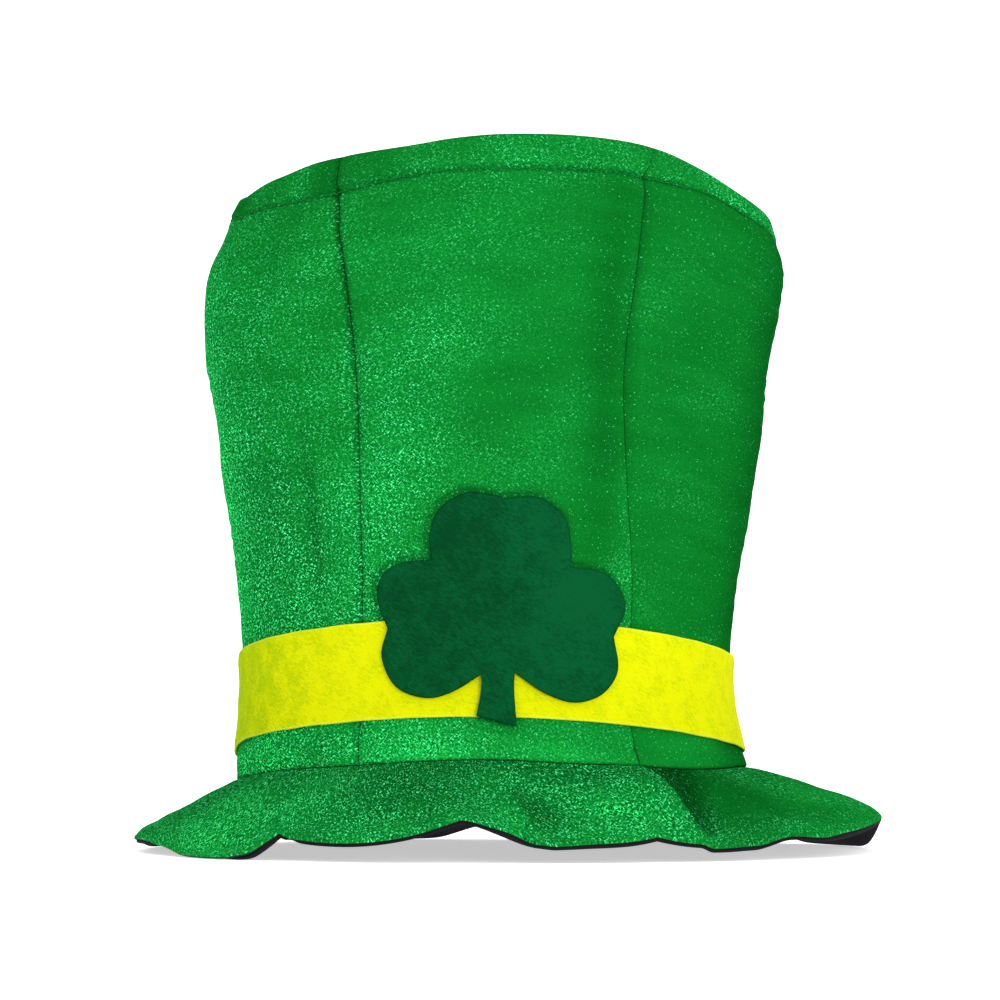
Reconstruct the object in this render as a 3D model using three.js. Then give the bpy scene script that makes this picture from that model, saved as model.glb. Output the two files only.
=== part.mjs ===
// A tall velvet hat: six sewn side panels that flare upwards, a pinched lip round the top,
// a felt band, a felt shamrock and a wavy, drooping brim of velvet over a dark lining.
// Millimetres and degrees. The origin is the middle of the surface that the brim rests on.
// +Z is up, the front of the hat looks along -Y and +X is its right side as seen from the front.
import * as THREE from 'three';

// Crown
const HEAD_OPENING_DIAMETER = 191;
const CROWN_WALL = 3;
const CROWN_HEIGHT = 213.5;
const WAIST_RADIUS = 94.2;
const FLARE_RADIUS = 112.4;
const CROWN_LEAN = 4.5;
const CROWN_SHIFT = -5.6;
const SEAM_HEIGHT = 30;
const SEAM_ROLL = 2.3;
const SEAM_SAG = 4.8;
const SWAY = 2.6;
const SEAM_PINCH = 1.2;
const SEAM_PINCH_WIDTH = 3;
const PINCH_START = 0.08;
const DENT_DEPTH = 2.6;

// Lip and tip of the crown
const LIP_HEIGHT = 13.6;
const LIP_THICKNESS = 3;
const LIP_LEAN = 9;
const LIP_ROLL = 8.7;
const STITCH_PINCH = 0.9;
const TIP_THICKNESS = 1.6;
const TIP_SAG = 4;
const TIP_FLANGE = 0.82;

// Felt band and shamrock
const BAND_WIDTH = 36;
const BAND_THICKNESS = 1.5;
const BAND_RISE = 11.1;
const BAND_ARCH = 2.2;
const BAND_ROLL = 1.1;
const BAND_DROP = { depth: 4, angle: -98, wide: 16 };
const SHAMROCK_WIDTH = 91;
const SHAMROCK_THICKNESS = 2;
const SHAMROCK_OFFSET = 3.5;
const SHAMROCK_RISE = 54;
const SHAMROCK_LAP = 3;
const SHAMROCK_SETTLE = 14;

// Brim
const BRIM_RADIUS = 146;
const BRIM_DRAW = 11;
const WAVE_HEIGHT = 13.4;
const BRIM_BULGE = 3.2;
const BRIM_SPLAY = 24;
const FOLD_HEIGHT = 4;
const FOLD_REACH = 18;
const VELVET_THICKNESS = 1.5;
const LINING_THICKNESS = 1.4;

// Clearances between neighbouring pieces
const PANEL_GAP = 0.3;
const LAYER_GAP = 0.3;
const BAND_GAP = 0.35;
const SHAMROCK_GAP = 0.4;
const VELVET_PILE_GAP = 0.6;

const SEAM_RADIUS = HEAD_OPENING_DIAMETER / 2 + CROWN_WALL;
const BRIM_THICKNESS = VELVET_THICKNESS + LAYER_GAP + LINING_THICKNESS;
const DEGREE = Math.PI / 180;

// Crown sections, from the brim seam (0) to the stitched line under the lip (1).
// seam and flare share out the radius between waist, seam and flare; sway is the drift to the right.
const CROWN_SECTIONS = [
  { at: 0.00, seam: 1.00, flare: 0.00, sway: 0.00 },
  { at: 0.04, seam: 0.62, flare: 0.00, sway: -0.55 },
  { at: 0.085, seam: 0.22, flare: 0.00, sway: -0.75 },
  { at: 0.13, seam: 0.02, flare: 0.00, sway: -0.85 },
  { at: 0.22, seam: 0.00, flare: 0.01, sway: -0.92 },
  { at: 0.31, seam: 0.00, flare: 0.10, sway: -0.73 },
  { at: 0.40, seam: 0.00, flare: 0.27, sway: -0.62 },
  { at: 0.50, seam: 0.00, flare: 0.45, sway: -0.54 },
  { at: 0.59, seam: 0.00, flare: 0.61, sway: -0.50 },
  { at: 0.68, seam: 0.00, flare: 0.76, sway: -0.69 },
  { at: 0.78, seam: 0.00, flare: 0.91, sway: -0.73 },
  { at: 0.86, seam: 0.00, flare: 0.99, sway: 0.00 },
  { at: 0.92, seam: 0.00, flare: 0.97, sway: 0.83 },
  { at: 0.96, seam: 0.00, flare: 0.88, sway: 1.55 },
  { at: 1.00, seam: 0.00, flare: 0.73, sway: 1.65 },
];

// The brim seam: how far it hangs under its even line, in shares of the sag
const SEAM_LINE = [
  { angle: -180, sag: 0.30 },
  { angle: -90, sag: 0.33 },
  { angle: -50, sag: 0.33 },
  { angle: -33, sag: 0.43 },
  { angle: -12, sag: 0.38 },
  { angle: 2, sag: 0.48 },
  { angle: 16, sag: 0.78 },
  { angle: 30, sag: 0.92 },
  { angle: 46, sag: 1.05 },
  { angle: 61, sag: 0.80 },
  { angle: 75, sag: 0.36 },
  { angle: 92, sag: 0.12 },
  { angle: 130, sag: 0.25 },
];

// Panel seams. Each column is how far, in degrees, the seam strays from its angle at that section.
const SEAM_SECTIONS = [0, 0.27, 0.45, 0.60, 0.70, 0.79, 0.87, 0.94, 1];
const PANEL_SEAMS = [
  { angle: -150, stray: [0.8, 0.4, -0.2, -0.7, -0.8, -0.4, 0.3, 0.7, 1.0] },
  { angle: -90, stray: [-0.6, 0.2, 0.7, 0.6, 0.3, -0.1, -0.5, -0.7, -0.8] },
  { angle: -30, stray: [0.4, 0.9, 1.7, 2.6, 2.9, 2.2, 0.0, -3.1, -5.6] },
  { angle: 30, stray: [3.1, 4.5, 0.8, -1.7, -1.6, -0.7, -1.0, -1.4, -1.1] },
  { angle: 90, stray: [1.2, 0.8, 0.0, -0.6, -0.9, -0.8, -0.4, 0.3, 0.8] },
  { angle: 150, stray: [-0.5, 0.3, 0.8, 0.7, 0.3, -0.2, -0.6, -0.5, -0.2] },
];
const PANEL_NAMES = ['back_left', 'front_left', 'front', 'front_right', 'back_right', 'back'];

// Shares of a panel's width where it has a column, and shares of the wall and lip where it has a row
const PANEL_COLUMNS = [0, 0.03, 0.11, 0.24, 0.37, 0.50, 0.63, 0.76, 0.89, 0.97, 1];
const WALL_ROWS = [0, 0.045, 0.13, 0.23, 0.33, 0.43, 0.54, 0.65, 0.76, 0.86, 0.93, 1];
const BAND_ROWS = [0, 0.33, 0.67, 1];
const TIP_COLUMNS = [0, 0.11, 0.30, 0.50, 0.70, 0.89];
const TIP_ROWS = [0.72, 0.36, 0];

// Rows of the lip, as shares of its height; proud and taper are shares of its thickness
const LIP_ROWS = [
  { up: 0.30, proud: 0.17, taper: 0 },
  { up: 0.80, proud: 0.20, taper: 0 },
  { up: 1.00, proud: -0.20, taper: 0.40 },
];

// Dents in the crown: where, how wide in degrees, how tall and how deep
const DENTS = [
  { angle: -43, at: 0.38, wide: 7, tall: 0.16, deep: 0.80 },
  { angle: -51, at: 0.84, wide: 9, tall: 0.18, deep: 1.00 },
  { angle: 23, at: 0.80, wide: 8, tall: 0.20, deep: 0.60 },
  { angle: 62, at: 0.60, wide: 10, tall: 0.22, deep: 0.50 },
  { angle: 118, at: 0.70, wide: 11, tall: 0.18, deep: 0.80 },
  { angle: 178, at: 0.45, wide: 12, tall: 0.20, deep: 0.70 },
  { angle: -122, at: 0.60, wide: 10, tall: 0.22, deep: 0.80 },
];

// The lip round the top: roll of the stitched line, height of the lip and its lean inwards
const TOP_EDGE = [
  { angle: -180, roll: 0.00, tall: 0.90, lean: 0.50 },
  { angle: -135, roll: 0.35, tall: 0.80, lean: 0.60 },
  { angle: -90, roll: 0.40, tall: 0.62, lean: 0.45 },
  { angle: -75, roll: -0.17, tall: 0.75, lean: 0.65 },
  { angle: -57, roll: -0.40, tall: 0.90, lean: 0.60 },
  { angle: -45, roll: -0.54, tall: 1.06, lean: 0.50 },
  { angle: -35, roll: -0.54, tall: 1.08, lean: 0.45 },
  { angle: -20, roll: -0.20, tall: 0.92, lean: 0.38 },
  { angle: -10, roll: 0.00, tall: 0.92, lean: 0.35 },
  { angle: 0, roll: 0.00, tall: 1.00, lean: 0.33 },
  { angle: 22, roll: 0.08, tall: 0.96, lean: 0.33 },
  { angle: 33, roll: -0.10, tall: 0.95, lean: 0.33 },
  { angle: 45, roll: -0.26, tall: 0.72, lean: 0.33 },
  { angle: 58, roll: -0.64, tall: 0.63, lean: 0.33 },
  { angle: 72, roll: -0.84, tall: 0.65, lean: 0.36 },
  { angle: 90, roll: -1.00, tall: 0.80, lean: 0.32 },
  { angle: 130, roll: -0.60, tall: 0.85, lean: 0.45 },
];

// The brim's edge: lift above the surface, how far the edge is drawn in, and how the brim bulges.
// left and right are 1 where the edge meets the row at a slope on that side, as at a cusp between
// two waves of cloth, and 0 where it is round. A row with a lift below 0 rests on the surface.
const BRIM_EDGE = [
  { angle: -160, lift: -0.36, draw: 0.27, bulge: 0.6, left: 0, right: 0 },
  { angle: -140, lift: 0.52, draw: 0.73, bulge: 0.7, left: 0, right: 0 },
  { angle: -116, lift: -0.36, draw: 0.27, bulge: 0.4, left: 0, right: 0 },
  { angle: -86, lift: 0.24, draw: 0.32, bulge: 0.2, left: 0, right: 0 },
  { angle: -66, lift: 0.22, draw: 0.40, bulge: 0.4, left: 0, right: 0 },
  { angle: -44, lift: -0.36, draw: 0.00, bulge: 0.6, left: 0, right: 0 },
  { angle: -36, lift: 0.55, draw: 0.80, bulge: 0.6, left: 1, right: 1 },
  { angle: -24, lift: 0.39, draw: 0.36, bulge: 0.6, left: 0, right: 0 },
  { angle: -7, lift: 1.00, draw: 1.00, bulge: 0.5, left: 1, right: 0 },
  { angle: 5, lift: 0.36, draw: 0.45, bulge: 0.6, left: 0, right: 0 },
  { angle: 13, lift: 0.35, draw: 0.36, bulge: 0.6, left: 0, right: 0 },
  { angle: 22, lift: 0.46, draw: 0.55, bulge: 0.6, left: 1, right: 1 },
  { angle: 30, lift: 0.30, draw: 0.36, bulge: 0.6, left: 0, right: 0 },
  { angle: 38, lift: 0.32, draw: 0.36, bulge: 0.6, left: 0, right: 0 },
  { angle: 46, lift: 0.48, draw: 0.40, bulge: 0.6, left: 0, right: 0 },
  { angle: 55, lift: 0.40, draw: 0.36, bulge: 0.7, left: 0, right: 0 },
  { angle: 84, lift: 0.78, draw: 0.27, bulge: 0.9, left: 0, right: 0 },
  { angle: 112, lift: -0.36, draw: 0.10, bulge: 0.9, left: 0, right: 0 },
  { angle: 135, lift: 0.45, draw: 0.55, bulge: 0.7, left: 0, right: 0 },
  { angle: 155, lift: -0.36, draw: 0.27, bulge: 0.6, left: 0, right: 0 },
  { angle: 180, lift: 0.50, draw: 0.45, bulge: 0.6, left: 0, right: 0 },
];

// Creases that run from the crown to the edge: the ridge's angle at both ends, its height, the
// degrees over which it rises on its left and falls on its right, and the dip beyond its right side
const BRIM_FOLDS = [
  { crown: 36.3, edge: 30.0, high: 1.0, rise: 12, fall: 4, dip: 0.35 },
  { crown: -1.7, edge: 4.2, high: 0.35, rise: 9, fall: 5, dip: 0.2 },
  { crown: -128, edge: -122, high: 0.4, rise: 12, fall: 10, dip: 0 },
];
const BRIM_ROWS = [0.10, 0.28, 0.46, 0.64, 0.80, 0.94, 1];
const WIDEST_BRIM_STEP = 7;
const NARROWEST_BRIM_STEP = 2;

// Shares of the way out over which a crease swells, how soon the bulge fills out from the crown,
// how late it falls to the edge, and where the layers have turned square to the edge
const FOLD_SWELL = { start: 0.02, span: 0.90 };
const BULGE_FILL = 1.7;
const BULGE_FALL = 14;
const TURNED_OUT = 0.3;

// Outline of the shamrock in shares of its width, clockwise from the stem; corner rows are sharp
const SHAMROCK_OUTLINE = [
  { x: 0.052, up: -0.272, corner: 1 },
  { x: 0.171, up: -0.351, corner: 0 },
  { x: 0.290, up: -0.386, corner: 0 },
  { x: 0.401, up: -0.349, corner: 0 },
  { x: 0.466, up: -0.250, corner: 0 },
  { x: 0.450, up: -0.115, corner: 1 },
  { x: 0.499, up: 0.010, corner: 0 },
  { x: 0.444, up: 0.119, corner: 0 },
  { x: 0.365, up: 0.150, corner: 0 },
  { x: 0.278, up: 0.155, corner: 1 },
  { x: 0.278, up: 0.238, corner: 0 },
  { x: 0.254, up: 0.349, corner: 0 },
  { x: 0.163, up: 0.421, corner: 0 },
  { x: 0.071, up: 0.428, corner: 0 },
  { x: 0.020, up: 0.419, corner: 1 },
  { x: -0.052, up: 0.438, corner: 0 },
  { x: -0.147, up: 0.443, corner: 0 },
  { x: -0.250, up: 0.381, corner: 0 },
  { x: -0.288, up: 0.278, corner: 0 },
  { x: -0.281, up: 0.181, corner: 1 },
  { x: -0.393, up: 0.176, corner: 0 },
  { x: -0.480, up: 0.127, corner: 0 },
  { x: -0.498, up: 0.028, corner: 0 },
  { x: -0.456, up: -0.087, corner: 1 },
  { x: -0.480, up: -0.200, corner: 0 },
  { x: -0.421, up: -0.323, corner: 0 },
  { x: -0.298, up: -0.371, corner: 0 },
  { x: -0.190, up: -0.345, corner: 0 },
  { x: -0.081, up: -0.279, corner: 1 },
  { x: -0.083, up: -0.345, corner: 0 },
  { x: -0.101, up: -0.446, corner: 1 },
  { x: 0.060, up: -0.487, corner: 1 },
  { x: 0.050, up: -0.345, corner: 0 },
];
const SHAMROCK_RINGS = [1, 0.78, 0.52, 0.26, 0];

// Degrees from a mark round to an angle, between -180 and 180
function turnFrom(mark, angle) {
  return ((((angle - mark + 180) % 360) + 360) % 360) - 180;
}

// Smooth step from 0 to 1
function ease(share) {
  const t = Math.min(Math.max(share, 0), 1);
  return t * t * (3 - 2 * t);
}

// Value of one column of a table at a place along its key column, on a smooth curve through the rows
function along(rows, key, place, column) {
  const last = rows.length - 1;
  let i = 0;
  while (i < last - 1 && place > rows[i + 1][key]) i += 1;
  const slope = (a, b) => (rows[b][column] - rows[a][column]) / (rows[b][key] - rows[a][key]);
  const span = rows[i + 1][key] - rows[i][key];
  const t = (place - rows[i][key]) / span;
  const start = slope(Math.max(i - 1, 0), i + 1) * span;
  const end = slope(i, Math.min(i + 2, last)) * span;
  const cubic = (2 * t - 3) * t * t;
  return rows[i][column] * (1 + cubic)
    - rows[i + 1][column] * cubic
    + start * t * (1 - t) * (1 - t)
    - end * t * t * (1 - t);
}

// The same for a table round the hat, by angle
function roundCurve(rows, angle, column) {
  const turned = (row, turn) => ({ ...row, angle: row.angle + turn });
  const looped = [turned(rows[rows.length - 1], -360), ...rows, ...rows.slice(0, 2).map((r) => turned(r, 360))];
  const place = rows[0].angle + ((((angle - rows[0].angle) % 360) + 360) % 360);
  return along(looped, 'angle', place, column);
}

// Rows of a table round the hat on either side of an angle, and the share of the way between them
function around(rows, angle) {
  const first = rows[0].angle;
  const turned = first + ((((angle - first) % 360) + 360) % 360);
  let i = rows.length - 1;
  while (rows[i].angle > turned) i -= 1;
  const next = rows[(i + 1) % rows.length];
  const end = i + 1 < rows.length ? next.angle : next.angle + 360;
  return { from: rows[i], to: next, share: (turned - rows[i].angle) / (end - rows[i].angle) };
}

// Value of one column of a table round the hat, with smooth humps from row to row
function roundTable(rows, angle, column) {
  const { from, to, share } = around(rows, angle);
  return from[column] + (to[column] - from[column]) * ease(share);
}

// The same with cusps: the curve meets a row at a slope on its sharp sides
function cuspedTable(rows, angle, column) {
  const { from, to, share } = around(rows, angle);
  let step = ease(share);
  if (from.right && to.left) step = share;
  else if (from.right) step = 1 - (1 - share) ** 2;
  else if (to.left) step = share ** 2;
  return from[column] + (to[column] - from[column]) * step;
}

// Closed wall between two grids of points, grid[column][row]. A wrapped wall runs right round;
// a wall with a pole has one shared point for all the last row of each grid.
function wallGeometry(outer, inner, { wrap = false, pole = false } = {}) {
  const columns = outer.length;
  const rows = outer[0].length;
  const ownRows = pole ? rows - 1 : rows;
  const points = [];
  for (const grid of [outer, inner]) {
    for (const column of grid) points.push(...column.slice(0, ownRows));
    if (pole) points.push(grid[0][rows - 1]);
  }
  const gridSize = points.length / 2;
  const index = (side, c, r) => {
    const start = side * gridSize;
    if (r === ownRows) return start + gridSize - 1;
    return start + (c % columns) * ownRows + r;
  };
  const triangles = [];
  const quad = (a, b, c, d) => {
    if (a !== b && b !== c && c !== a) triangles.push(a, b, c);
    if (a !== c && c !== d && d !== a) triangles.push(a, c, d);
  };
  const steps = wrap ? columns : columns - 1;
  for (let c = 0; c < steps; c += 1) {
    for (let r = 0; r + 1 < rows; r += 1) {
      quad(index(0, c, r), index(0, c + 1, r), index(0, c + 1, r + 1), index(0, c, r + 1));
      quad(index(1, c, r), index(1, c, r + 1), index(1, c + 1, r + 1), index(1, c + 1, r));
    }
    quad(index(0, c, 0), index(1, c, 0), index(1, c + 1, 0), index(0, c + 1, 0));
    if (!pole) {
      const r = rows - 1;
      quad(index(0, c, r), index(0, c + 1, r), index(1, c + 1, r), index(1, c, r));
    }
  }
  if (!wrap) {
    for (let r = 0; r + 1 < rows; r += 1) {
      const c = columns - 1;
      quad(index(0, 0, r), index(0, 0, r + 1), index(1, 0, r + 1), index(1, 0, r));
      quad(index(0, c, r), index(1, c, r), index(1, c, r + 1), index(0, c, r + 1));
    }
  }
  if (enclosedVolume(points, triangles) < 0) triangles.reverse();
  const geometry = new THREE.BufferGeometry();
  geometry.setAttribute('position', new THREE.Float32BufferAttribute(points.flatMap((p) => p.toArray()), 3));
  geometry.setIndex(triangles);
  geometry.computeVertexNormals();
  return geometry;
}

// Volume enclosed by triangles; it is below 0 where they face inwards
function enclosedVolume(points, triangles) {
  let volume = 0;
  for (let i = 0; i < triangles.length; i += 3) {
    const [a, b, c] = [0, 1, 2].map((k) => points[triangles[i + k]]);
    volume += a.dot(b.clone().cross(c)) / 6;
  }
  return volume;
}

// Point on a ring round the crown's axis; the angle is 0 at the front and grows to the right
function ringPoint(angle, radius, height, shift = 0) {
  return new THREE.Vector3(
    radius * Math.sin(angle * DEGREE) + shift,
    -radius * Math.cos(angle * DEGREE),
    height,
  );
}

// Outer radius of the crown before dents and pinches
function crownRadius(at) {
  const seam = along(CROWN_SECTIONS, 'at', at, 'seam');
  const flare = along(CROWN_SECTIONS, 'at', at, 'flare');
  return WAIST_RADIUS + seam * (SEAM_RADIUS - WAIST_RADIUS) + flare * (FLARE_RADIUS - WAIST_RADIUS);
}

// The same where the cloth runs straight from one row of the wall to the next, as the panels do
function rowedRadius(at) {
  const next = Math.max(1, WALL_ROWS.findIndex((row) => row >= at));
  const [low, high] = [WALL_ROWS[next - 1], WALL_ROWS[next]];
  const share = (at - low) / (high - low);
  return crownRadius(low) * (1 - share) + crownRadius(high) * share;
}

function crownSway(at) {
  return SWAY * along(CROWN_SECTIONS, 'at', at, 'sway');
}

function dentDepth(angle, at) {
  let depth = 0;
  for (const dent of DENTS) {
    const turn = turnFrom(dent.angle, angle);
    depth += dent.deep * Math.exp(-((turn / dent.wide) ** 2) - ((at - dent.at) / dent.tall) ** 2);
  }
  return DENT_DEPTH * depth;
}

// Height of a section of the wall; its foot rolls with the brim seam and its top with the stitched line
function wallHeight(angle, at) {
  const topRoll = LIP_ROLL * roundCurve(TOP_EDGE, angle, 'roll') * at ** 3;
  return CROWN_HEIGHT * at + topRoll + seamRoll(angle) * (1 - at) ** 3;
}

// Section of the wall that lies at a height
function sectionAt(angle, height) {
  let at = height / CROWN_HEIGHT;
  for (let pass = 0; pass < 3; pass += 1) at += (height - wallHeight(angle, at)) / CROWN_HEIGHT;
  return at;
}

// Height of the brim seam above its middle: the seam rolls up to the right and sags in between
function seamRoll(angle) {
  return SEAM_ROLL * Math.sin(angle * DEGREE) - SEAM_SAG * roundCurve(SEAM_LINE, angle, 'sag');
}

// Point on the wall, a depth under its outer face
function wallPoint(angle, at, depth) {
  const radius = rowedRadius(at) - dentDepth(angle, at) - depth;
  return ringPoint(angle, radius, wallHeight(angle, at), crownSway(at));
}

// Point on the lip, a share of the way up from the stitched line
function lipPoint(angle, up, depth) {
  const lean = LIP_LEAN * roundCurve(TOP_EDGE, angle, 'lean') * up;
  const tall = LIP_HEIGHT * roundCurve(TOP_EDGE, angle, 'tall') * up;
  const radius = crownRadius(1) - dentDepth(angle, 1) - lean - depth;
  return ringPoint(angle, radius, wallHeight(angle, 1) + tall, crownSway(1));
}

// Angle of a seam at a section of the wall
function seamAngle(seam, at) {
  const rows = SEAM_SECTIONS.map((section, i) => ({ at: section, stray: seam.stray[i] }));
  return seam.angle + along(rows, 'at', Math.min(at, 1), 'stray');
}

// Angle of a column of a panel, with half of the gap taken off at each seam
function panelAngle(left, right, share, at) {
  const halfGap = PANEL_GAP / 2 / crownRadius(at) / DEGREE;
  const start = seamAngle(left, at) + halfGap;
  const turn = right.angle < left.angle ? 360 : 0;
  const end = seamAngle(right, at) + turn - halfGap;
  return start + (end - start) * share;
}

// How far the cloth is pulled in near a panel's two seams; the brim seam holds its foot out
function seamPull(share, at) {
  const panelWidth = crownRadius(at) * 2 * Math.PI / PANEL_SEAMS.length;
  const distance = Math.min(share, 1 - share) * panelWidth;
  return SEAM_PINCH * ease(at / PINCH_START) * Math.exp(-((distance / SEAM_PINCH_WIDTH) ** 2));
}

// One side panel of the crown with its part of the lip
function panelGeometry(left, right) {
  const outer = [];
  const inner = [];
  for (const share of PANEL_COLUMNS) {
    const outerColumn = [];
    const innerColumn = [];
    for (const at of WALL_ROWS) {
      const angle = panelAngle(left, right, share, at);
      const pull = seamPull(share, at);
      const stitch = at === 1 ? STITCH_PINCH : 0;
      outerColumn.push(wallPoint(angle, at, pull + stitch));
      innerColumn.push(wallPoint(angle, at, pull + CROWN_WALL));
    }
    for (const row of LIP_ROWS) {
      const angle = panelAngle(left, right, share, 1);
      const depth = seamPull(share, 1) - LIP_THICKNESS * row.proud;
      outerColumn.push(lipPoint(angle, row.up, depth));
      innerColumn.push(lipPoint(angle, row.up, depth + LIP_THICKNESS * (1 - row.taper)));
    }
    outer.push(outerColumn);
    inner.push(innerColumn);
  }
  return wallGeometry(outer, inner);
}

// Angles at one section, right round the crown, of the given shares of each panel
function anglesRound(shares, at) {
  return PANEL_SEAMS.flatMap((left, i) => {
    const right = PANEL_SEAMS[(i + 1) % PANEL_SEAMS.length];
    return shares.map((share) => panelAngle(left, right, share, at));
  });
}

// The tip that closes the crown: a shallow pan inside the lip, with its flange turned up
function tipGeometry() {
  const depth = SEAM_PINCH + Math.max(CROWN_WALL, LIP_THICKNESS) + LAYER_GAP;
  const under = [];
  const over = [];
  for (const angle of anglesRound(TIP_COLUMNS, 1)) {
    const centre = new THREE.Vector3(crownSway(1), 0, CROWN_HEIGHT - TIP_SAG);
    const foot = lipPoint(angle, 0, depth);
    const disc = (share, lift) => {
      const point = foot.clone().lerp(centre, 1 - share);
      point.z = foot.z * share ** 2 + (CROWN_HEIGHT - TIP_SAG) * (1 - share ** 2) + lift;
      return point;
    };
    const corner = lipPoint(angle, 0, depth + TIP_THICKNESS);
    corner.z += TIP_THICKNESS;
    const flange = (back) => [TIP_FLANGE, TIP_FLANGE / 2].map((up) => lipPoint(angle, up, depth + back));
    under.push([...flange(0), foot, ...TIP_ROWS.map((share) => disc(share, 0))]);
    over.push([...flange(TIP_THICKNESS), corner, ...TIP_ROWS.map((share) => disc(share, TIP_THICKNESS))]);
  }
  return wallGeometry(under, over, { wrap: true, pole: true });
}

// Height of the band's lower edge: it arches up at the front and back, rolls down to the right and
// drops on the left side
function bandFoot(angle) {
  const drop = BAND_DROP.depth * Math.exp(-((turnFrom(BAND_DROP.angle, angle) / BAND_DROP.wide) ** 2));
  return BAND_RISE - drop
    + BAND_ARCH * Math.cos(2 * angle * DEGREE)
    - BAND_ROLL * Math.sin(angle * DEGREE);
}

// Felt band round the crown's waist
function bandGeometry() {
  const outer = [];
  const inner = [];
  for (const angle of anglesRound(PANEL_COLUMNS.slice(0, -1), BAND_RISE / CROWN_HEIGHT)) {
    const rows = BAND_ROWS.map((share) => sectionAt(angle, bandFoot(angle) + BAND_WIDTH * share));
    inner.push(rows.map((at) => wallPoint(angle, at, -BAND_GAP)));
    outer.push(rows.map((at) => wallPoint(angle, at, -BAND_GAP - BAND_THICKNESS)));
  }
  return wallGeometry(outer, inner, { wrap: true });
}

// How far the back of the shamrock stands off the crown: over the band, then easing onto the velvet
function shamrockStandoff(height) {
  const overBand = BAND_GAP + BAND_THICKNESS + SHAMROCK_GAP;
  const bandTop = BAND_RISE + BAND_ARCH + BAND_WIDTH;
  const away = ease((height - bandTop - SHAMROCK_LAP) / SHAMROCK_SETTLE);
  return overBand + (VELVET_PILE_GAP - overBand) * away;
}

// Point of the shamrock from its place in front view, at a share of its thickness
function shamrockPoint(x, height, share) {
  const standoff = shamrockStandoff(height) + SHAMROCK_THICKNESS * share;
  let at = height / CROWN_HEIGHT;
  let angle = 0;
  let radius = rowedRadius(at) + standoff;
  for (let pass = 0; pass < 3; pass += 1) {
    angle = Math.asin((x - crownSway(at)) / radius) / DEGREE;
    at = sectionAt(angle, height);
    radius = rowedRadius(at) - dentDepth(angle, at) + standoff;
  }
  return ringPoint(angle, radius, height, crownSway(at));
}

// Points along the shamrock's outline: the rows and one point on the curve after each
function shamrockOutline() {
  const rows = SHAMROCK_OUTLINE;
  const count = rows.length;
  const place = (i) => new THREE.Vector2(rows[(i + count) % count].x, rows[(i + count) % count].up);
  const outline = [];
  for (let i = 0; i < count; i += 1) {
    const here = place(i);
    const next = place(i + 1);
    const chord = next.clone().sub(here);
    const start = rows[i].corner ? chord : next.clone().sub(place(i - 1)).multiplyScalar(0.5);
    const end = rows[(i + 1) % count].corner ? chord : place(i + 2).sub(here).multiplyScalar(0.5);
    const middle = here.clone().add(next).multiplyScalar(0.5);
    middle.addScaledVector(start.clone().sub(end), 0.125);
    outline.push(here, middle);
  }
  return outline;
}

// Felt shamrock, bent round the crown's front
function shamrockGeometry() {
  const front = [];
  const back = [];
  for (const knot of shamrockOutline()) {
    const column = (share) => SHAMROCK_RINGS.map((ring) => shamrockPoint(
      SHAMROCK_OFFSET + knot.x * SHAMROCK_WIDTH * ring,
      SHAMROCK_RISE + knot.y * SHAMROCK_WIDTH * ring,
      share,
    ));
    front.push(column(1));
    back.push(column(0));
  }
  return wallGeometry(front, back, { wrap: true, pole: true });
}

// Turns and shifts that set the crown on the brim
const crownPlace = new THREE.Matrix4().makeTranslation(CROWN_SHIFT, 0, SEAM_HEIGHT);
crownPlace.multiply(new THREE.Matrix4().makeRotationX(-CROWN_LEAN * DEGREE));

// Height of the crease over the brim at an edge angle and a share of the way out
function foldLift(angle, out) {
  let lift = 0;
  for (const fold of BRIM_FOLDS) {
    const turn = turnFrom(fold.edge, angle);
    const swell = Math.sin(Math.PI * (FOLD_SWELL.start + FOLD_SWELL.span * out));
    const left = ease(1 + turn / fold.rise);
    const right = 1 - ease(turn / fold.fall);
    const trough = fold.dip * Math.exp(-((turn / fold.fall - 2) ** 2));
    lift += fold.high * swell * ((turn < 0 ? left : right) - trough);
  }
  return FOLD_HEIGHT * lift;
}

// Angle where the line of cloth that ends at an edge angle leaves the crown
function crownAngle(angle) {
  let moved = 0;
  for (const fold of BRIM_FOLDS) {
    const turn = turnFrom(fold.edge, angle);
    moved += (fold.crown - fold.edge) * Math.exp(-((turn / FOLD_REACH) ** 2));
  }
  return angle + moved;
}

// Point on the brim's margin under the crown wall, a height above the brim's underside
function seamPoint(angle, radius, height) {
  const from = crownAngle(angle);
  const level = seamRoll(from) - LAYER_GAP - BRIM_THICKNESS + height;
  return ringPoint(from, radius, level).applyMatrix4(crownPlace);
}

// Point on the underside of the brim, from the crown (0) to the edge (1)
function brimUnderside(angle, out) {
  const row = (column) => roundTable(BRIM_EDGE, angle, column);
  const start = seamPoint(angle, SEAM_RADIUS + LAYER_GAP, 0);
  const drawn = row('draw') + (cuspedTable(BRIM_EDGE, angle, 'draw') - row('draw')) * out;
  const lift = row('lift') + (cuspedTable(BRIM_EDGE, angle, 'lift') - row('lift')) * out ** 3;
  const end = ringPoint(angle, BRIM_RADIUS - BRIM_DRAW * drawn, WAVE_HEIGHT * lift);
  const point = start.lerp(end, out);
  const hump = (1 - (1 - out) ** BULGE_FILL) * (1 - out ** BULGE_FALL);
  point.z += BRIM_BULGE * row('bulge') * hump + foldLift(angle, out);
  point.z = Math.max(point.z, 0);
  return point;
}

// The way that the brim's layers are stacked: square to the crown's seam, turning outwards to the edge
function brimStack(angle, out) {
  const seam = new THREE.Vector3(0, 0, 1).transformDirection(crownPlace);
  const slope = ringPoint(angle, Math.sin(BRIM_SPLAY * DEGREE), Math.cos(BRIM_SPLAY * DEGREE));
  return seam.lerp(slope, ease(out / TURNED_OUT)).normalize();
}

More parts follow.
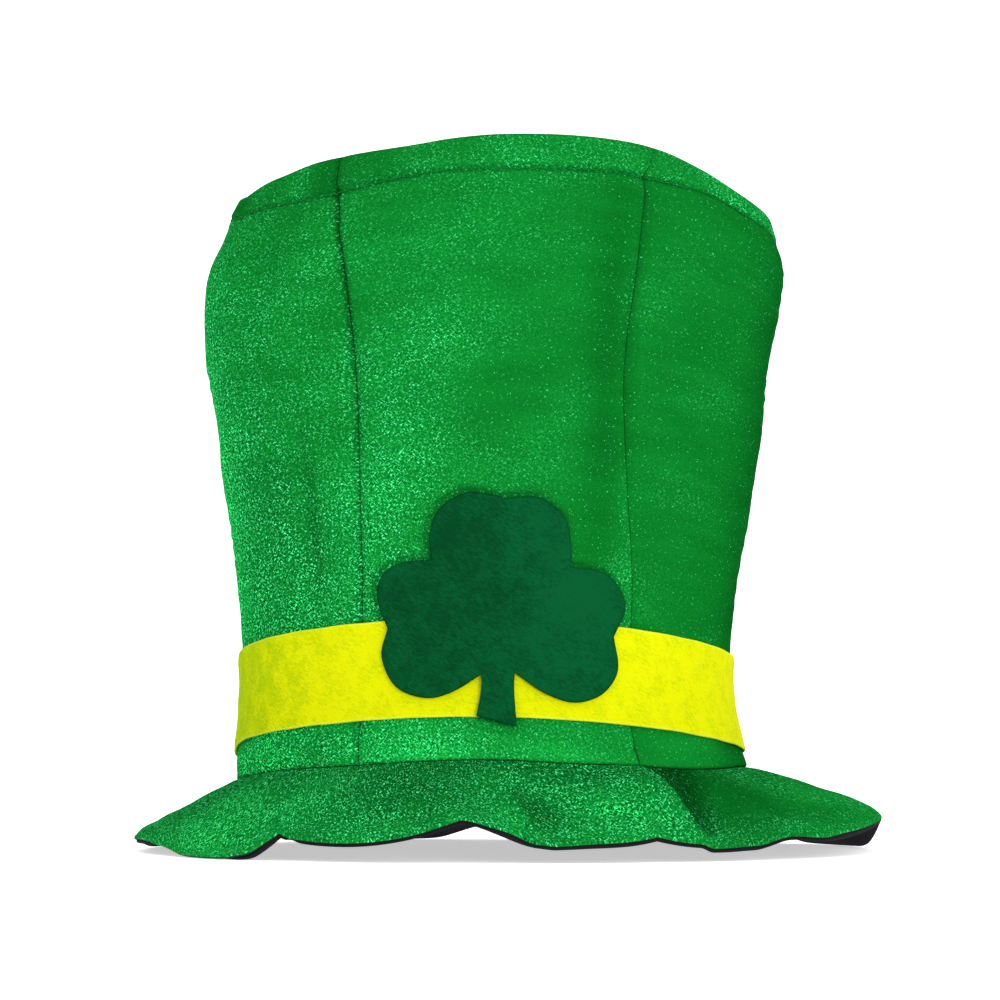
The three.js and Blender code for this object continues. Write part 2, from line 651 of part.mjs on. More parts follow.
// One layer of the brim between two depths above its underside
function brimLayer(low, high) {
  const grids = [low, high].map((height) => brimAngles().map((angle) => {
    const margin = [HEAD_OPENING_DIAMETER / 2, SEAM_RADIUS + LAYER_GAP];
    const skirt = BRIM_ROWS.map((out) => {
      const stack = brimStack(angle, out).multiplyScalar(height);
      return brimUnderside(angle, out).add(stack);
    });
    return [...margin.map((radius) => seamPoint(angle, radius, height)), ...skirt];
  }));
  return wallGeometry(grids[1], grids[0], { wrap: true });
}

// Edge angles of the brim's columns: one on each row of the edge table and crease, evenly between them
function brimAngles() {
  const marks = BRIM_EDGE.map((row) => row.angle);
  for (const fold of BRIM_FOLDS) marks.push(fold.edge, fold.edge + fold.fall);
  marks.sort((a, b) => a - b);
  const kept = marks.filter((mark, i) => i === 0 || mark - marks[i - 1] > NARROWEST_BRIM_STEP);
  return kept.flatMap((mark, i) => {
    const next = i + 1 < kept.length ? kept[i + 1] : kept[0] + 360;
    const steps = Math.ceil((next - mark) / WIDEST_BRIM_STEP);
    return Array.from({ length: steps }, (_, k) => mark + (next - mark) * k / steps);
  });
}

// Materials, one for each cloth
const MATERIALS = {
  velvet: { color: 0x0a8c2d, roughness: 0.75 },
  yellowFelt: { color: 0xeef00e, roughness: 0.95 },
  darkFelt: { color: 0x055a2a, roughness: 0.95 },
  lining: { color: 0x1c191e, roughness: 0.85 },
};

function addPiece(group, name, geometry, cloth) {
  const material = new THREE.MeshStandardMaterial({ ...MATERIALS[cloth], metalness: 0 });
  const mesh = new THREE.Mesh(geometry, material);
  mesh.name = name;
  group.add(mesh);
}

const crown = new THREE.Group();
crown.position.set(CROWN_SHIFT, 0, SEAM_HEIGHT);
crown.rotation.x = -CROWN_LEAN * DEGREE;
PANEL_SEAMS.forEach((left, i) => {
  const right = PANEL_SEAMS[(i + 1) % PANEL_SEAMS.length];
  addPiece(crown, `crown_panel_${PANEL_NAMES[i]}`, panelGeometry(left, right), 'velvet');
});
addPiece(crown, 'crown_tip', tipGeometry(), 'velvet');
addPiece(crown, 'hat_band', bandGeometry(), 'yellowFelt');
addPiece(crown, 'shamrock', shamrockGeometry(), 'darkFelt');

const hat = new THREE.Group();
hat.add(crown);
addPiece(hat, 'brim_lining', brimLayer(0, LINING_THICKNESS), 'lining');
addPiece(hat, 'brim_velvet', brimLayer(LINING_THICKNESS + LAYER_GAP, BRIM_THICKNESS), 'velvet');

export default hat;
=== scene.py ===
"""A velvet leprechaun hat: crown panels with a pinched lip, tip, lip stitching, felt band, felt shamrock, lined brim.

Sizes are in metres and angles in degrees. Angle 0 is the front of the hat (-Y) and angles grow to the right (+X).
"""

import math

import bpy
import numpy as np
from bpy.props import FloatProperty, FloatVectorProperty, PointerProperty
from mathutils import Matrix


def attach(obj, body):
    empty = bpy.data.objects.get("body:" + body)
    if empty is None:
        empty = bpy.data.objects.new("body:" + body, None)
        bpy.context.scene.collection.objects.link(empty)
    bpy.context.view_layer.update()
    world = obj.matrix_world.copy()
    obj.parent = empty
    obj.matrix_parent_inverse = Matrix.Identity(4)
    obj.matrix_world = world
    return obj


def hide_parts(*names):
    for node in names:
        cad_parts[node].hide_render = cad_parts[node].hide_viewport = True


bl_info = {
    "name": "Leprechaun Hat",
    "version": (1, 0, 0),
    "blender": (4, 5, 0),
    "location": "View3D > Sidebar > Hat",
    "description": "Builds the cloth of a leprechaun hat around its packed model",
    "category": "Add Mesh",
}

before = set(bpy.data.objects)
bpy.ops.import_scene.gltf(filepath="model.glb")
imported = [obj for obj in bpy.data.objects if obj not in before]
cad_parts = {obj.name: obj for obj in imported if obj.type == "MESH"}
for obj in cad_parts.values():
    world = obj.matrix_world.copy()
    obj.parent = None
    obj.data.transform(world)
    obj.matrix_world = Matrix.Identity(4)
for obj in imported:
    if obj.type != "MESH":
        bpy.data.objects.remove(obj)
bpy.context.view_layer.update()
MM = 0.001
BODY = "root"


def table(names, *rows):
    """A table as a dictionary of columns, each an array with one value a row."""
    return {name: np.array(column, float) for name, column in zip(names.split(), zip(*rows))}


# Crown sections, from the brim seam (0) to the stitched line under the lip (1). seam and flare share out the
# radius between waist, seam and flare; sway is the drift to the right.
CROWN_SECTIONS = table(
    "at seam flare sway",
    (0.00, 1.00, 0.00, 0.00),
    (0.04, 0.62, 0.00, -0.55),
    (0.085, 0.22, 0.00, -0.75),
    (0.13, 0.02, 0.00, -0.85),
    (0.22, 0.00, 0.01, -0.92),
    (0.31, 0.00, 0.10, -0.73),
    (0.40, 0.00, 0.27, -0.62),
    (0.50, 0.00, 0.45, -0.54),
    (0.59, 0.00, 0.61, -0.50),
    (0.68, 0.00, 0.76, -0.69),
    (0.78, 0.00, 0.91, -0.73),
    (0.86, 0.00, 0.99, 0.00),
    (0.92, 0.00, 0.97, 0.83),
    (0.96, 0.00, 0.88, 1.55),
    (1.00, 0.00, 0.73, 1.65),
)

# The brim seam: how far it hangs under its even line, in shares of the sag
SEAM_LINE = table(
    "angle sag",
    (-180, 0.30),
    (-90, 0.33),
    (-50, 0.33),
    (-33, 0.43),
    (-12, 0.38),
    (2, 0.48),
    (16, 0.78),
    (30, 0.92),
    (46, 1.05),
    (61, 0.80),
    (75, 0.36),
    (92, 0.12),
    (130, 0.25),
)

# Panel seams: name of the panel on the seam's right, the seam's angle, how deep its groove is, how far it
# strays at each section of the wall, how far it leans over in the lip, and the painted light and shade of that
# panel: the tone (as a natural logarithm) and the share of painted glints that it adds
SEAM_SECTIONS = (0, 0.27, 0.45, 0.60, 0.70, 0.79, 0.87, 0.94, 1)
PANEL_SEAMS = (
    ("back_left", -150, 0.9, (0.8, 0.4, -0.2, -0.7, -0.8, -0.4, 0.3, 0.7, 1.0), 0.8, -0.05, 0.10),
    ("front_left", -90, 0.2, (-0.6, 0.2, 0.7, 0.6, 0.3, -0.1, -0.5, -0.7, -0.8), -0.5, 0.00, 0.05),
    ("front", -30, 0.8, (0.4, 0.9, 1.7, 2.6, 2.9, 2.2, 0.0, -3.1, -5.6), -0.6, 0.00, 0.00),
    ("front_right", 30, 0.22, (3.1, 4.5, 0.8, -1.7, -1.6, -0.7, -1.0, -1.4, -1.1), 3.6, -0.20, -0.36),
    ("back_right", 90, 0.2, (1.2, 0.8, 0.0, -0.6, -0.9, -0.8, -0.4, 0.3, 0.8), 0.6, -0.10, -0.15),
    ("back", 150, 0.9, (-0.5, 0.3, 0.8, 0.7, 0.3, -0.2, -0.6, -0.5, -0.2), -0.4, 0.00, 0.05),
)

# Dents in the crown: where, how wide in degrees, how tall and how deep
DENTS = table(
    "angle at wide tall deep",
    (-43, 0.38, 7, 0.16, 0.80),
    (-51, 0.84, 9, 0.18, 1.00),
    (23, 0.80, 8, 0.20, 0.60),
    (62, 0.60, 10, 0.22, 0.50),
    (118, 0.70, 11, 0.18, 0.80),
    (178, 0.45, 12, 0.20, 0.70),
    (-122, 0.60, 10, 0.22, 0.80),
)

# The lip round the top: roll of the stitched line, height of the lip and its lean inwards
TOP_EDGE = table(
    "angle roll tall lean",
    (-180, 0.00, 0.90, 0.50),
    (-135, 0.35, 0.80, 0.60),
    (-90, 0.40, 0.62, 0.45),
    (-75, -0.17, 0.75, 0.65),
    (-57, -0.40, 0.90, 0.60),
    (-45, -0.54, 1.06, 0.50),
    (-35, -0.54, 1.08, 0.45),
    (-20, -0.20, 0.92, 0.38),
    (-10, 0.00, 0.92, 0.35),
    (0, 0.00, 1.00, 0.33),
    (22, 0.08, 0.96, 0.33),
    (33, -0.10, 0.95, 0.33),
    (45, -0.26, 0.72, 0.33),
    (58, -0.64, 0.63, 0.33),
    (72, -0.84, 0.65, 0.36),
    (90, -1.00, 0.80, 0.32),
    (130, -0.60, 0.85, 0.45),
)

# The brim's edge: lift above the surface, how far the edge is drawn in, how the brim bulges, and where a side of
# the row is a cusp (1) or round (0)
BRIM_EDGE = table(
    "angle lift draw bulge left right",
    (-160, -0.36, 0.27, 0.6, 0, 0),
    (-140, 0.52, 0.73, 0.7, 0, 0),
    (-116, -0.36, 0.27, 0.4, 0, 0),
    (-86, 0.24, 0.32, 0.2, 0, 0),
    (-66, 0.22, 0.40, 0.4, 0, 0),
    (-44, -0.36, 0.00, 0.6, 0, 0),
    (-36, 0.55, 0.80, 0.6, 1, 1),
    (-24, 0.36, 0.36, 0.6, 0, 0),
    (-7, 0.97, 1.00, 0.5, 1, 0),
    (5, 0.31, 0.45, 0.6, 0, 0),
    (13, 0.35, 0.36, 0.6, 0, 0),
    (22, 0.46, 0.55, 0.6, 1, 1),
    (30, 0.22, 0.36, 0.6, 0, 0),
    (38, 0.27, 0.36, 0.6, 0, 0),
    (46, 0.48, 0.40, 0.6, 0, 0),
    (55, 0.40, 0.36, 0.7, 0, 0),
    (84, 0.78, 0.27, 0.9, 0, 0),
    (112, -0.36, 0.10, 0.9, 0, 0),
    (135, 0.45, 0.55, 0.7, 0, 0),
    (155, -0.36, 0.27, 0.6, 0, 0),
    (180, 0.50, 0.45, 0.6, 0, 0),
)

# How much of the lining's rolled edge shows under the velvet, in shares of the roll
LINING_SHOWS = table(
    "angle share",
    (-170, 0.7),
    (-140, 0.8),
    (-100, 0.3),
    (-80, 0.3),
    (-74, 0.7),
    (-69, 0.3),
    (-65, 0.0),
    (-46, 0.0),
    (-41, 0.4),
    (-38, 1.4),
    (-35, 0.35),
    (-31, 0.3),
    (-26, 0.35),
    (-14, 0.35),
    (-9, 0.5),
    (-4, 0.4),
    (0.5, 1.3),
    (4, 0.35),
    (12, 0.6),
    (19, 0.7),
    (28, 0.4),
    (38, 0.6),
    (47, 0.35),
    (54, 0.5),
    (60, 1.4),
    (84, 0.6),
    (112, 0.4),
    (150, 0.6),
)

# Creases that run from the crown to the edge: the ridge's angle at both ends, its height, the degrees over
# which it rises on its left and falls on its right, and the dip beyond its right side, with its middle and
# reach. Beyond the ridge the velvet carries painted shade, as on a crease's shady side: how dark, over how many
# degrees at the crown, and from which share of the way out
BRIM_FOLDS = table(
    "crown edge high rise fall dip trough dark wide start",
    (34.4, 28.4, 1.25, 12, 2.4, 0.55, 7, 0.90, 15, -0.4),
    (-1.7, 4.2, 0.45, 9, 2.6, 0.60, 5, 0.38, 15, 0.3),
    (-128, -122, 0.4, 12, 10, 0.0, 20, 0.2, 10, 0.2),
)

# Outline of the shamrock in shares of its width, clockwise from the stem; corner rows are sharp
SHAMROCK_OUTLINE = table(
    "x up corner",
    (0.052, -0.272, 1),
    (0.171, -0.351, 0),
    (0.290, -0.386, 0),
    (0.401, -0.349, 0),
    (0.466, -0.250, 0),
    (0.450, -0.115, 1),
    (0.499, 0.010, 0),
    (0.444, 0.119, 0),
    (0.365, 0.150, 0),
    (0.278, 0.155, 1),
    (0.278, 0.238, 0),
    (0.254, 0.349, 0),
    (0.163, 0.421, 0),
    (0.071, 0.428, 0),
    (0.020, 0.419, 1),
    (-0.052, 0.438, 0),
    (-0.147, 0.443, 0),
    (-0.250, 0.381, 0),
    (-0.288, 0.278, 0),
    (-0.281, 0.181, 1),
    (-0.393, 0.176, 0),
    (-0.480, 0.127, 0),
    (-0.498, 0.028, 0),
    (-0.456, -0.087, 1),
    (-0.480, -0.200, 0),
    (-0.421, -0.323, 0),
    (-0.298, -0.371, 0),
    (-0.190, -0.345, 0),
    (-0.081, -0.279, 1),
    (-0.083, -0.345, 0),
    (-0.101, -0.446, 1),
    (0.060, -0.487, 1),
    (0.050, -0.345, 0),
)

# Patches of painted light and shade on the crown's velvet, lighter where the light falls on the left and darker
# in hollows and towards the right: where, how wide in degrees and how tall, how much lighter or darker it is
# painted there (as a natural logarithm), and how many more painted glints of the glitter thread it shows
CROWN_PAINTED_LIGHT = table(
    "angle at wide tall tone glitter",
    (-86, 0.50, 20, 0.40, 0.46, 1.90),
    (-56, 0.40, 13, 0.22, -0.16, 0.25),
    (-52, 0.80, 8, 0.10, 0.00, 0.20),
    (-50, 0.20, 15, 0.22, 0.10, 1.05),
    (-41, 0.42, 2.2, 0.13, -0.38, -0.30),
    (-24, 0.30, 10, 0.24, 0.22, 0.85),
    (-18, 0.60, 13, 0.16, 0.00, 0.25),
    (-17, 0.87, 14, 0.13, 0.00, -0.12),
    (13, 0.58, 16, 0.52, -0.16, -0.34),
    (24.5, 0.70, 5.0, 0.34, -0.42, -0.30),
    (32.0, 0.65, 2.4, 0.36, 0.08, 0.16),
    (50, 0.15, 14, 0.16, 0.06, 0.06),
    (82, 0.55, 17, 0.90, -0.50, -0.10),
    (-62, 0.00, 20, 0.07, 0.40, 1.15),
    (-41, 0.00, 5, 0.05, -0.15, -0.40),
    (-14, 0.00, 16, 0.07, 0.58, 0.70),
    (16, 0.00, 12, 0.07, 0.38, 0.05),
    (48, 0.00, 20, 0.08, 0.30, -0.05),
    (150, 0.40, 25, 0.40, 0.10, 0.30),
    (-140, 0.70, 20, 0.30, -0.10, 0.10),
)

# The same painted light and shade for the lip and, by the edge's angle and the share of the way out, for the brim,
# whose first row paints shade on the brim next to the crown and whose others paint the lit and shady sides of folds
LIP_PAINTED_LIGHT = table(
    "angle at wide tall tone glitter",
    (-80, 0.5, 12, 2, -0.35, -0.30),
    (-38, 0.5, 6, 2, -0.36, -0.30),
    (-24, 0.5, 9, 2, -0.16, -0.15),
    (12, 0.5, 14, 2, 0.05, 0.10),
    (30, 0.5, 4, 2, -0.08, -0.20),
    (62, 0.5, 17, 2, 0.20, 0.45),
)
BRIM_PAINTED_LIGHT = table(
    "angle at wide tall tone glitter",
    (0, 0.0, 900, 0.26, -0.26, 0.00),
    (-66, 0.45, 6, 0.28, -0.40, -0.30),
    (-52, 0.75, 12, 0.50, 0.36, 0.15),
    (-34, 0.55, 8, 0.40, 0.16, 0.00),
    (-14, 0.45, 11, 0.36, -0.38, -0.15),
    (1.0, 0.75, 3.0, 0.30, 0.22, 0.00),
    (20, 0.60, 9, 0.45, 0.30, 0.35),
    (44, 0.40, 13, 0.60, -0.46, -1.15),
    (70, 0.65, 20, 0.60, 0.06, -0.85),
)

# Painted highlights (below 0) and painted shade on the shamrock's felt, lighter on the right and darker on the
# left, with some darker mottles, in shares of its width
SHAMROCK_PAINTED_LIGHT = table(
    "x up wide shade",
    (-0.17, 0.28, 0.14, 0.55),
    (0.00, 0.03, 0.10, 0.35),
    (-0.30, 0.02, 0.16, 0.20),
    (-0.22, -0.22, 0.18, 0.15),
    (0.31, 0.05, 0.13, -0.75),
    (0.18, 0.33, 0.10, -0.25),
    (0.27, -0.22, 0.18, -0.15),
)

# Share of painted glints of the glitter thread where no patch says otherwise
PAINTED_GLINTS = {"wall": 0.35, "lip": 0.32, "tip": 0.45, "brim": 1.2}

# The tip has no patches of its own: this many shares past the lip none of the lip's reaches it
FAR_FROM_PATCHES = 5

# The thread's loose end: the panel on the right of its seam, and how high its foot and knot lie over the brim seam
THREAD_END = {"seam": "front_right", "foot": -2.8 * MM, "knot": 3.8 * MM}

# Smallest distances: between the cloths of two panels at their seam, from the velvet to the band's back, and from
# the band or the velvet to the shamrock's back
PANEL_GAP = 0.08 * MM
BAND_SEAT = 0.2 * MM
SHAMROCK_ON_BAND = 0.75 * MM
SHAMROCK_ON_VELVET = 0.6 * MM

# How far apart in the cloth two neighbouring panels are cut, so that no pattern runs on over a seam
CLOTH_STEP = 0.37

# How softly the brim settles on the surface, how far from the upright its layers are stacked at the edge, and how
# far inside the velvet's wrapped hem the lining ends
BRIM_REST = 1.5 * MM
BRIM_SPLAY = 24
LINING_DRAWN_IN = 2.5 * MM

# From one stitch to the next, in lengths of a stitch, and how far a stitch lies proud of its groove in its middle
STITCH_PITCH = 1.2
STITCH_PROUD = 0.2 * MM

# Quads of the grids: around the brim, the band and the tip, and around a stitch
BRIM_COLUMNS = 900
BAND_COLUMNS = 720
TIP_COLUMNS = 360
STITCH_SIDES = 6

# Rings that close a round grid are this share of its size, so that no quad is flat
SMALLEST_RING = 0.0005

# The camera stands in front of the hat, just above the surface, and looks slightly up
CAMERA_PLACE = (-0.0027, -1.4, 0.0465)
CAMERA_PITCH = 3.63
LENS = 130.1

# The soft light stands in front on the right: place, width and power in watts; it looks at the hat's middle
KEY_LIGHT = {"place": (0.7, -1.9, 0.22), "width": 0.7, "power": 20}
LIGHT_TARGET = (0, 0, 0.12)

# The studio's sheet: how far it reaches forwards, lies flat behind, bends up and stands, and half of its width
SWEEP = {"front": 3.0, "flat": 1.6, "bend": 0.8, "tall": 3.2, "half_width": 3.5}

# The velvet and its backing, once they are made: all velvet pieces share them
SHARED = []


def linear(code):
    """A colour as Blender's linear values, from its sRGB hex code."""
    srgb = np.array([int(code[i : i + 2], 16) for i in (0, 2, 4)]) / 255
    straight = np.where(srgb <= 0.04045, srgb / 12.92, ((srgb + 0.055) / 1.055) ** 2.4)
    return tuple(float(value) for value in straight)


def length_prop(name, default, description):
    """A property for a length in metres."""
    return FloatProperty(name=name, default=default, description=description, unit="LENGTH", precision=4)


def colour_prop(name, code, description):
    """A property for a colour, from its sRGB hex code."""
    return FloatVectorProperty(
        name=name, default=linear(code), description=description, subtype="COLOR", min=0, max=1
    )


class HatSizes(bpy.types.PropertyGroup):
    """Sizes of the hat."""

    head_opening: length_prop("Head opening", 191 * MM, "Inner diameter of the crown where the brim is sewn on")
    wall: length_prop("Crown wall", 3 * MM, "Velvet and its padding together")
    crown_height: length_prop("Crown height", 213.5 * MM, "From the brim seam to the stitched line")
    waist_radius: length_prop("Waist radius", 94.2 * MM, "Narrowest outer radius of the crown")
    flare_radius: length_prop("Flare radius", 112.4 * MM, "Widest outer radius of the crown")
    crown_lean: FloatProperty(
        name="Crown lean", default=math.radians(4.5), description="Lean of the crown to the back", subtype="ANGLE"
    )
    crown_shift: length_prop("Crown shift", -5.6 * MM, "How far right of the brim's middle the crown stands")
    seam_height: length_prop("Seam height", 30 * MM, "Height of the brim seam above the surface")
    seam_roll: length_prop("Seam roll", 2.3 * MM, "How far the brim seam rises to the right")
    seam_sag: length_prop("Seam sag", 4.8 * MM, "How far the brim seam sags where the cloth is full")
    sway: length_prop("Sway", 2.6 * MM, "Sideways drift of the crown")
    seam_pinch: length_prop("Seam pinch", 1.2 * MM, "How deep the panel seams draw the cloth in")
    seam_pinch_width: length_prop("Seam pinch width", 3 * MM, "How far from a panel seam the cloth is drawn in")
    dent_depth: length_prop("Dent depth", 2.6 * MM, "Depth of the deepest dent")
    lip_height: length_prop("Lip height", 13.6 * MM, "From the stitched line to the top edge")
    lip_lean: length_prop("Lip lean", 9 * MM, "How far the lip leans in")
    lip_roll: length_prop("Lip roll", 8.7 * MM, "How far the stitched line rises and falls")
    lip_bulge: length_prop("Lip bulge", 0.6 * MM, "How far the lip's padding stands proud")
    stitch_groove: length_prop("Stitch groove", 1.0 * MM, "Depth of the groove along the stitched line")
    thread: length_prop("Thread", 0.42 * MM, "Diameter of the sewing thread")
    stitch: length_prop("Stitch", 2.7 * MM, "Length of one stitch on the outside")
    tip_thickness: length_prop("Tip thickness", 1.6 * MM, "Cloth of the crown's tip")
    tip_sag: length_prop("Tip sag", 4 * MM, "How far the middle of the tip sags")
    band_width: length_prop("Band width", 36 * MM, "Width of the felt band")
    band_thickness: length_prop("Band thickness", 1.5 * MM, "Thickness of the felt band")
    band_rise: length_prop("Band rise", 11.1 * MM, "Height of the band above the brim seam")
    band_arch: length_prop("Band arch", 2.2 * MM, "How far the band arches up at the front")
    band_roll: length_prop("Band roll", 1.1 * MM, "How far the band falls to the right")
    band_drop: length_prop("Band drop", 4 * MM, "How far the band drops on the left side")
    shamrock_width: length_prop("Shamrock width", 91 * MM, "Width of the shamrock")
    shamrock_thickness: length_prop("Shamrock thickness", 2 * MM, "Thickness of the shamrock's felt")
    shamrock_offset: length_prop("Shamrock offset", 3.5 * MM, "How far right of the crown's middle it sits")
    shamrock_rise: length_prop("Shamrock rise", 54 * MM, "Height of its middle above the brim seam")
    brim_radius: length_prop("Brim radius", 146 * MM, "Largest radius of the brim")
    brim_draw: length_prop("Brim draw", 11 * MM, "How far the waves draw the edge in")
    wave_height: length_prop("Wave height", 13.4 * MM, "Height of the tallest wave of the edge")
    brim_bulge: length_prop("Brim bulge", 3.2 * MM, "How far the brim arches between seam and edge")
    fold_height: length_prop("Fold height", 4 * MM, "Height of the main crease")
    velvet: length_prop("Velvet thickness", 1.5 * MM, "Thickness of the brim's velvet")
    lining: length_prop("Lining thickness", 1.4 * MM, "Thickness of the brim's lining")
    lining_edge: length_prop("Lining edge", 0.35 * MM, "Thickness of the lining where the velvet hides its edge")
    lining_roll: length_prop("Lining roll", 1.35 * MM, "How much thicker its rolled edge is where it shows")
    hem: length_prop("Hem", 3.5 * MM, "Width of the smooth hem along the brim's edge")
    gap: length_prop("Gap", 0.3 * MM, "Clearance between neighbouring layers")
    nap_relief: length_prop("Nap relief", 0.32 * MM, "Height of the cloth's gentle unevenness")
    pucker: length_prop("Pucker", 0.4 * MM, "Height of the puckers along seams")
    pucker_length: length_prop("Pucker length", 7 * MM, "From one pucker to the next")


class HatColours(bpy.types.PropertyGroup):
    """Colours of the hat's cloths."""

    velvet: colour_prop("Velvet", "0A7424", "Pile of the velvet")
    # Painted sheen: the pile's colour where painted glints show
    sheen: colour_prop("Sheen", "0B772F", "Painted sheen of the pile where the painted glints show")
    # Painted glints of the glitter threads
    glitter: colour_prop("Glitter", "68F8A6", "Painted glints of the velvet's glitter threads")
    backing: colour_prop("Backing", "12331B", "Knitted back of the velvet")
    band: colour_prop("Band", "CDD006", "Yellow felt")
    # Mottle of the felt, and painted shade on the band's left side
    band_shade: colour_prop("Band, shade", "94B006", "Mottle of the yellow felt and painted shade on its left side")
    # Painted highlight along the band's cut edges
    band_edge_highlight: colour_prop("Band edge, painted highlight", "E3E84C", "Painted highlight along the yellow felt's cut edge")
    shamrock: colour_prop("Shamrock", "064E28", "Dark green felt")
    # Mottle of the felt, and painted shade and highlights of the shamrock
    shamrock_shade: colour_prop("Shamrock, shade", "043A1C", "Mottle and painted shade of the dark green felt")
    # Painted shade along the shamrock's cut edge
    shamrock_edge_shade: colour_prop("Shamrock edge, painted shade", "043A1D", "Painted shade along the dark green felt's cut edge")
    lining: colour_prop("Lining", "17141A", "Brim lining")
    thread: colour_prop("Thread", "085F22", "Sewing thread")
    thread_end: colour_prop("Thread end", "0A3417", "Knotted end of the sewing thread")
    floor: colour_prop("Floor", "FAFAFA", "Studio floor and backdrop")


def ease(share):
    """Smooth step: 3 t² - 2 t³ of the share held between 0 and 1."""
    t = np.clip(share, 0, 1)
    return t * t * (3 - 2 * t)


def turn_from(mark, angle):
    """Degrees from a mark round to an angle, between -180 and 180."""
    return (angle - mark + 180) % 360 - 180


def curve(rows, key, place, column):
    """Smooth curve through a table's rows: between two rows it is the cubic that meets both, and its slope at
    a row is that of the line through the row's two neighbours."""
    x, y = rows[key], rows[column]
    last = len(x) - 1
    i = np.clip(np.searchsorted(x, place, side="left") - 1, 0, last - 1)
    span = x[i + 1] - x[i]
    t = (place - x[i]) / span
    before, after = np.maximum(i - 1, 0), np.minimum(i + 2, last)
    start = (y[i + 1] - y[before]) / (x[i + 1] - x[before]) * span
    end = (y[after] - y[i]) / (x[after] - x[i]) * span
    cubic = (2 * t - 3) * t * t
    return y[i] * (1 + cubic) - y[i + 1] * cubic + start * t * (1 - t) ** 2 - end * t * t * (1 - t)


def round_curve(rows, angle, column):
    """The smooth curve through a table that runs right round the hat."""
    looped = {
        "angle": np.concatenate([rows["angle"][-1:] - 360, rows["angle"], rows["angle"][:2] + 360]),
        column: np.concatenate([rows[column][-1:], rows[column], rows[column][:2]]),
    }
    first = rows["angle"][0]
    return curve(looped, "angle", first + (angle - first) % 360, column)


def between(rows, angle):
    """Numbers of the rows before and after an angle, and the share of the way from one to the other."""
    first = rows["angle"][0]
    turned = first + (angle - first) % 360
    i = np.searchsorted(rows["angle"], turned, side="right") - 1
    after = (i + 1) % len(rows["angle"])
    end = rows["angle"][after] + np.where(after == 0, 360, 0)
    return i, after, (turned - rows["angle"][i]) / (end - rows["angle"][i])


def round_table(rows, angle, column):
    """Smooth humps from row to row round the hat: from one value to the next by the smooth step."""
    i, after, share = between(rows, angle)
    return rows[column][i] + (rows[column][after] - rows[column][i]) * ease(share)


def cusped_table(rows, angle, column):
    """The same with cusps: towards a sharp side the step is t², away from one 1 - (1 - t)², between two it is t."""
    i, after, share = between(rows, angle)
    away, towards = rows["right"][i] > 0, rows["left"][after] > 0
    step = np.where(
        away & towards, share, np.where(away, 1 - (1 - share) ** 2, np.where(towards, share**2, ease(share)))
    )
    return rows[column][i] + (rows[column][after] - rows[column][i]) * step


def ripples(angle, along, length, radius, seed):
    """Gentle unevenness between about -1 and 1: the sum of plane waves of roughly one length, each the sine of
    (whole turns × angle + rise × along + phase), so that it closes round the hat. The seed picks the waves, and
    each use has its own."""
    count = 16
    rng = np.random.default_rng(seed)
    heading = rng.uniform(0, 2 * np.pi, count)
    number = 2 * np.pi / length * rng.uniform(0.7, 1.5, count)
    turns = np.round(number * np.cos(heading) * radius)
    rises = number * np.sin(heading)
    phases = rng.uniform(0, 2 * np.pi, count)
    total = np.zeros(np.broadcast(angle, along).shape)
    for turn, rise, phase in zip(turns, rises, phases):
        total = total + np.sin(np.radians(angle) * turn + along * rise + phase)
    return total / math.sqrt(count)


def ring_point(angle, radius, height, shift=0.0):
    """(radius × sin angle + shift, -radius × cos angle, height)."""
    turn = np.radians(angle)
    angle, radius, height, shift = np.broadcast_arrays(angle, radius, height, shift)
    return np.stack([radius * np.sin(turn) + shift, -radius * np.cos(turn), height], -1)


def set_on_brim(size, points):
    """Points of the crown, leant back about X and lifted to the brim seam."""
    lean = size.crown_lean
    x, y, z = points[..., 0], points[..., 1], points[..., 2]
    return np.stack(
        [
            x + size.crown_shift,
            y * math.cos(lean) + z * math.sin(lean),
            z * math.cos(lean) - y * math.sin(lean) + size.seam_height,
        ],
        -1,
    )


def seam_radius(size):
    """Outer radius of the crown at the brim seam."""
    return size.head_opening / 2 + size.wall


def crown_radius(size, at):
    """waist + seam share × (seam radius - waist) + flare share × (flare - waist)."""
    seam = curve(CROWN_SECTIONS, "at", at, "seam")
    flare = curve(CROWN_SECTIONS, "at", at, "flare")
    return (
        size.waist_radius
        + seam * (seam_radius(size) - size.waist_radius)
        + flare * (size.flare_radius - size.waist_radius)
    )


def crown_sway(size, at):
    """Sideways drift of a section."""
    return size.sway * curve(CROWN_SECTIONS, "at", at, "sway")


def dent_depth(size, angle, at):
    """Sum of the dents, each deep × exp(-(turn / wide)² - (rise / tall)²)."""
    depth = 0.0
    for mark, middle, wide, tall, deep in zip(*DENTS.values()):
        depth = depth + deep * np.exp(-((turn_from(mark, angle) / wide) ** 2) - ((at - middle) / tall) ** 2)
    return size.dent_depth * depth


def seam_roll(size, angle):
    """The brim seam rises as the sine of the angle and sags by the table's shares."""
    return size.seam_roll * np.sin(np.radians(angle)) - size.seam_sag * round_curve(SEAM_LINE, angle, "sag")


def wall_height(size, angle, at):
    """crown height × at, plus the lip's roll × at³ and the brim seam's roll × (1 - at)³."""
    top = size.lip_roll * round_curve(TOP_EDGE, angle, "roll") * at**3
    return size.crown_height * at + top + seam_roll(size, angle) * (1 - at) ** 3


def section_at(size, angle, height):
    """Section of the wall that lies at a height, found by three steps towards it."""
    at = height / size.crown_height
    for _ in range(3):
        at = at + (height - wall_height(size, angle, at)) / size.crown_height
    return at


def wall_point(size, angle, at, depth):
    """Point on the crown's wall, a depth under its plain outer face."""
    radius = crown_radius(size, at) - dent_depth(size, angle, at) - depth
    return ring_point(angle, radius, wall_height(size, angle, at), crown_sway(size, at))


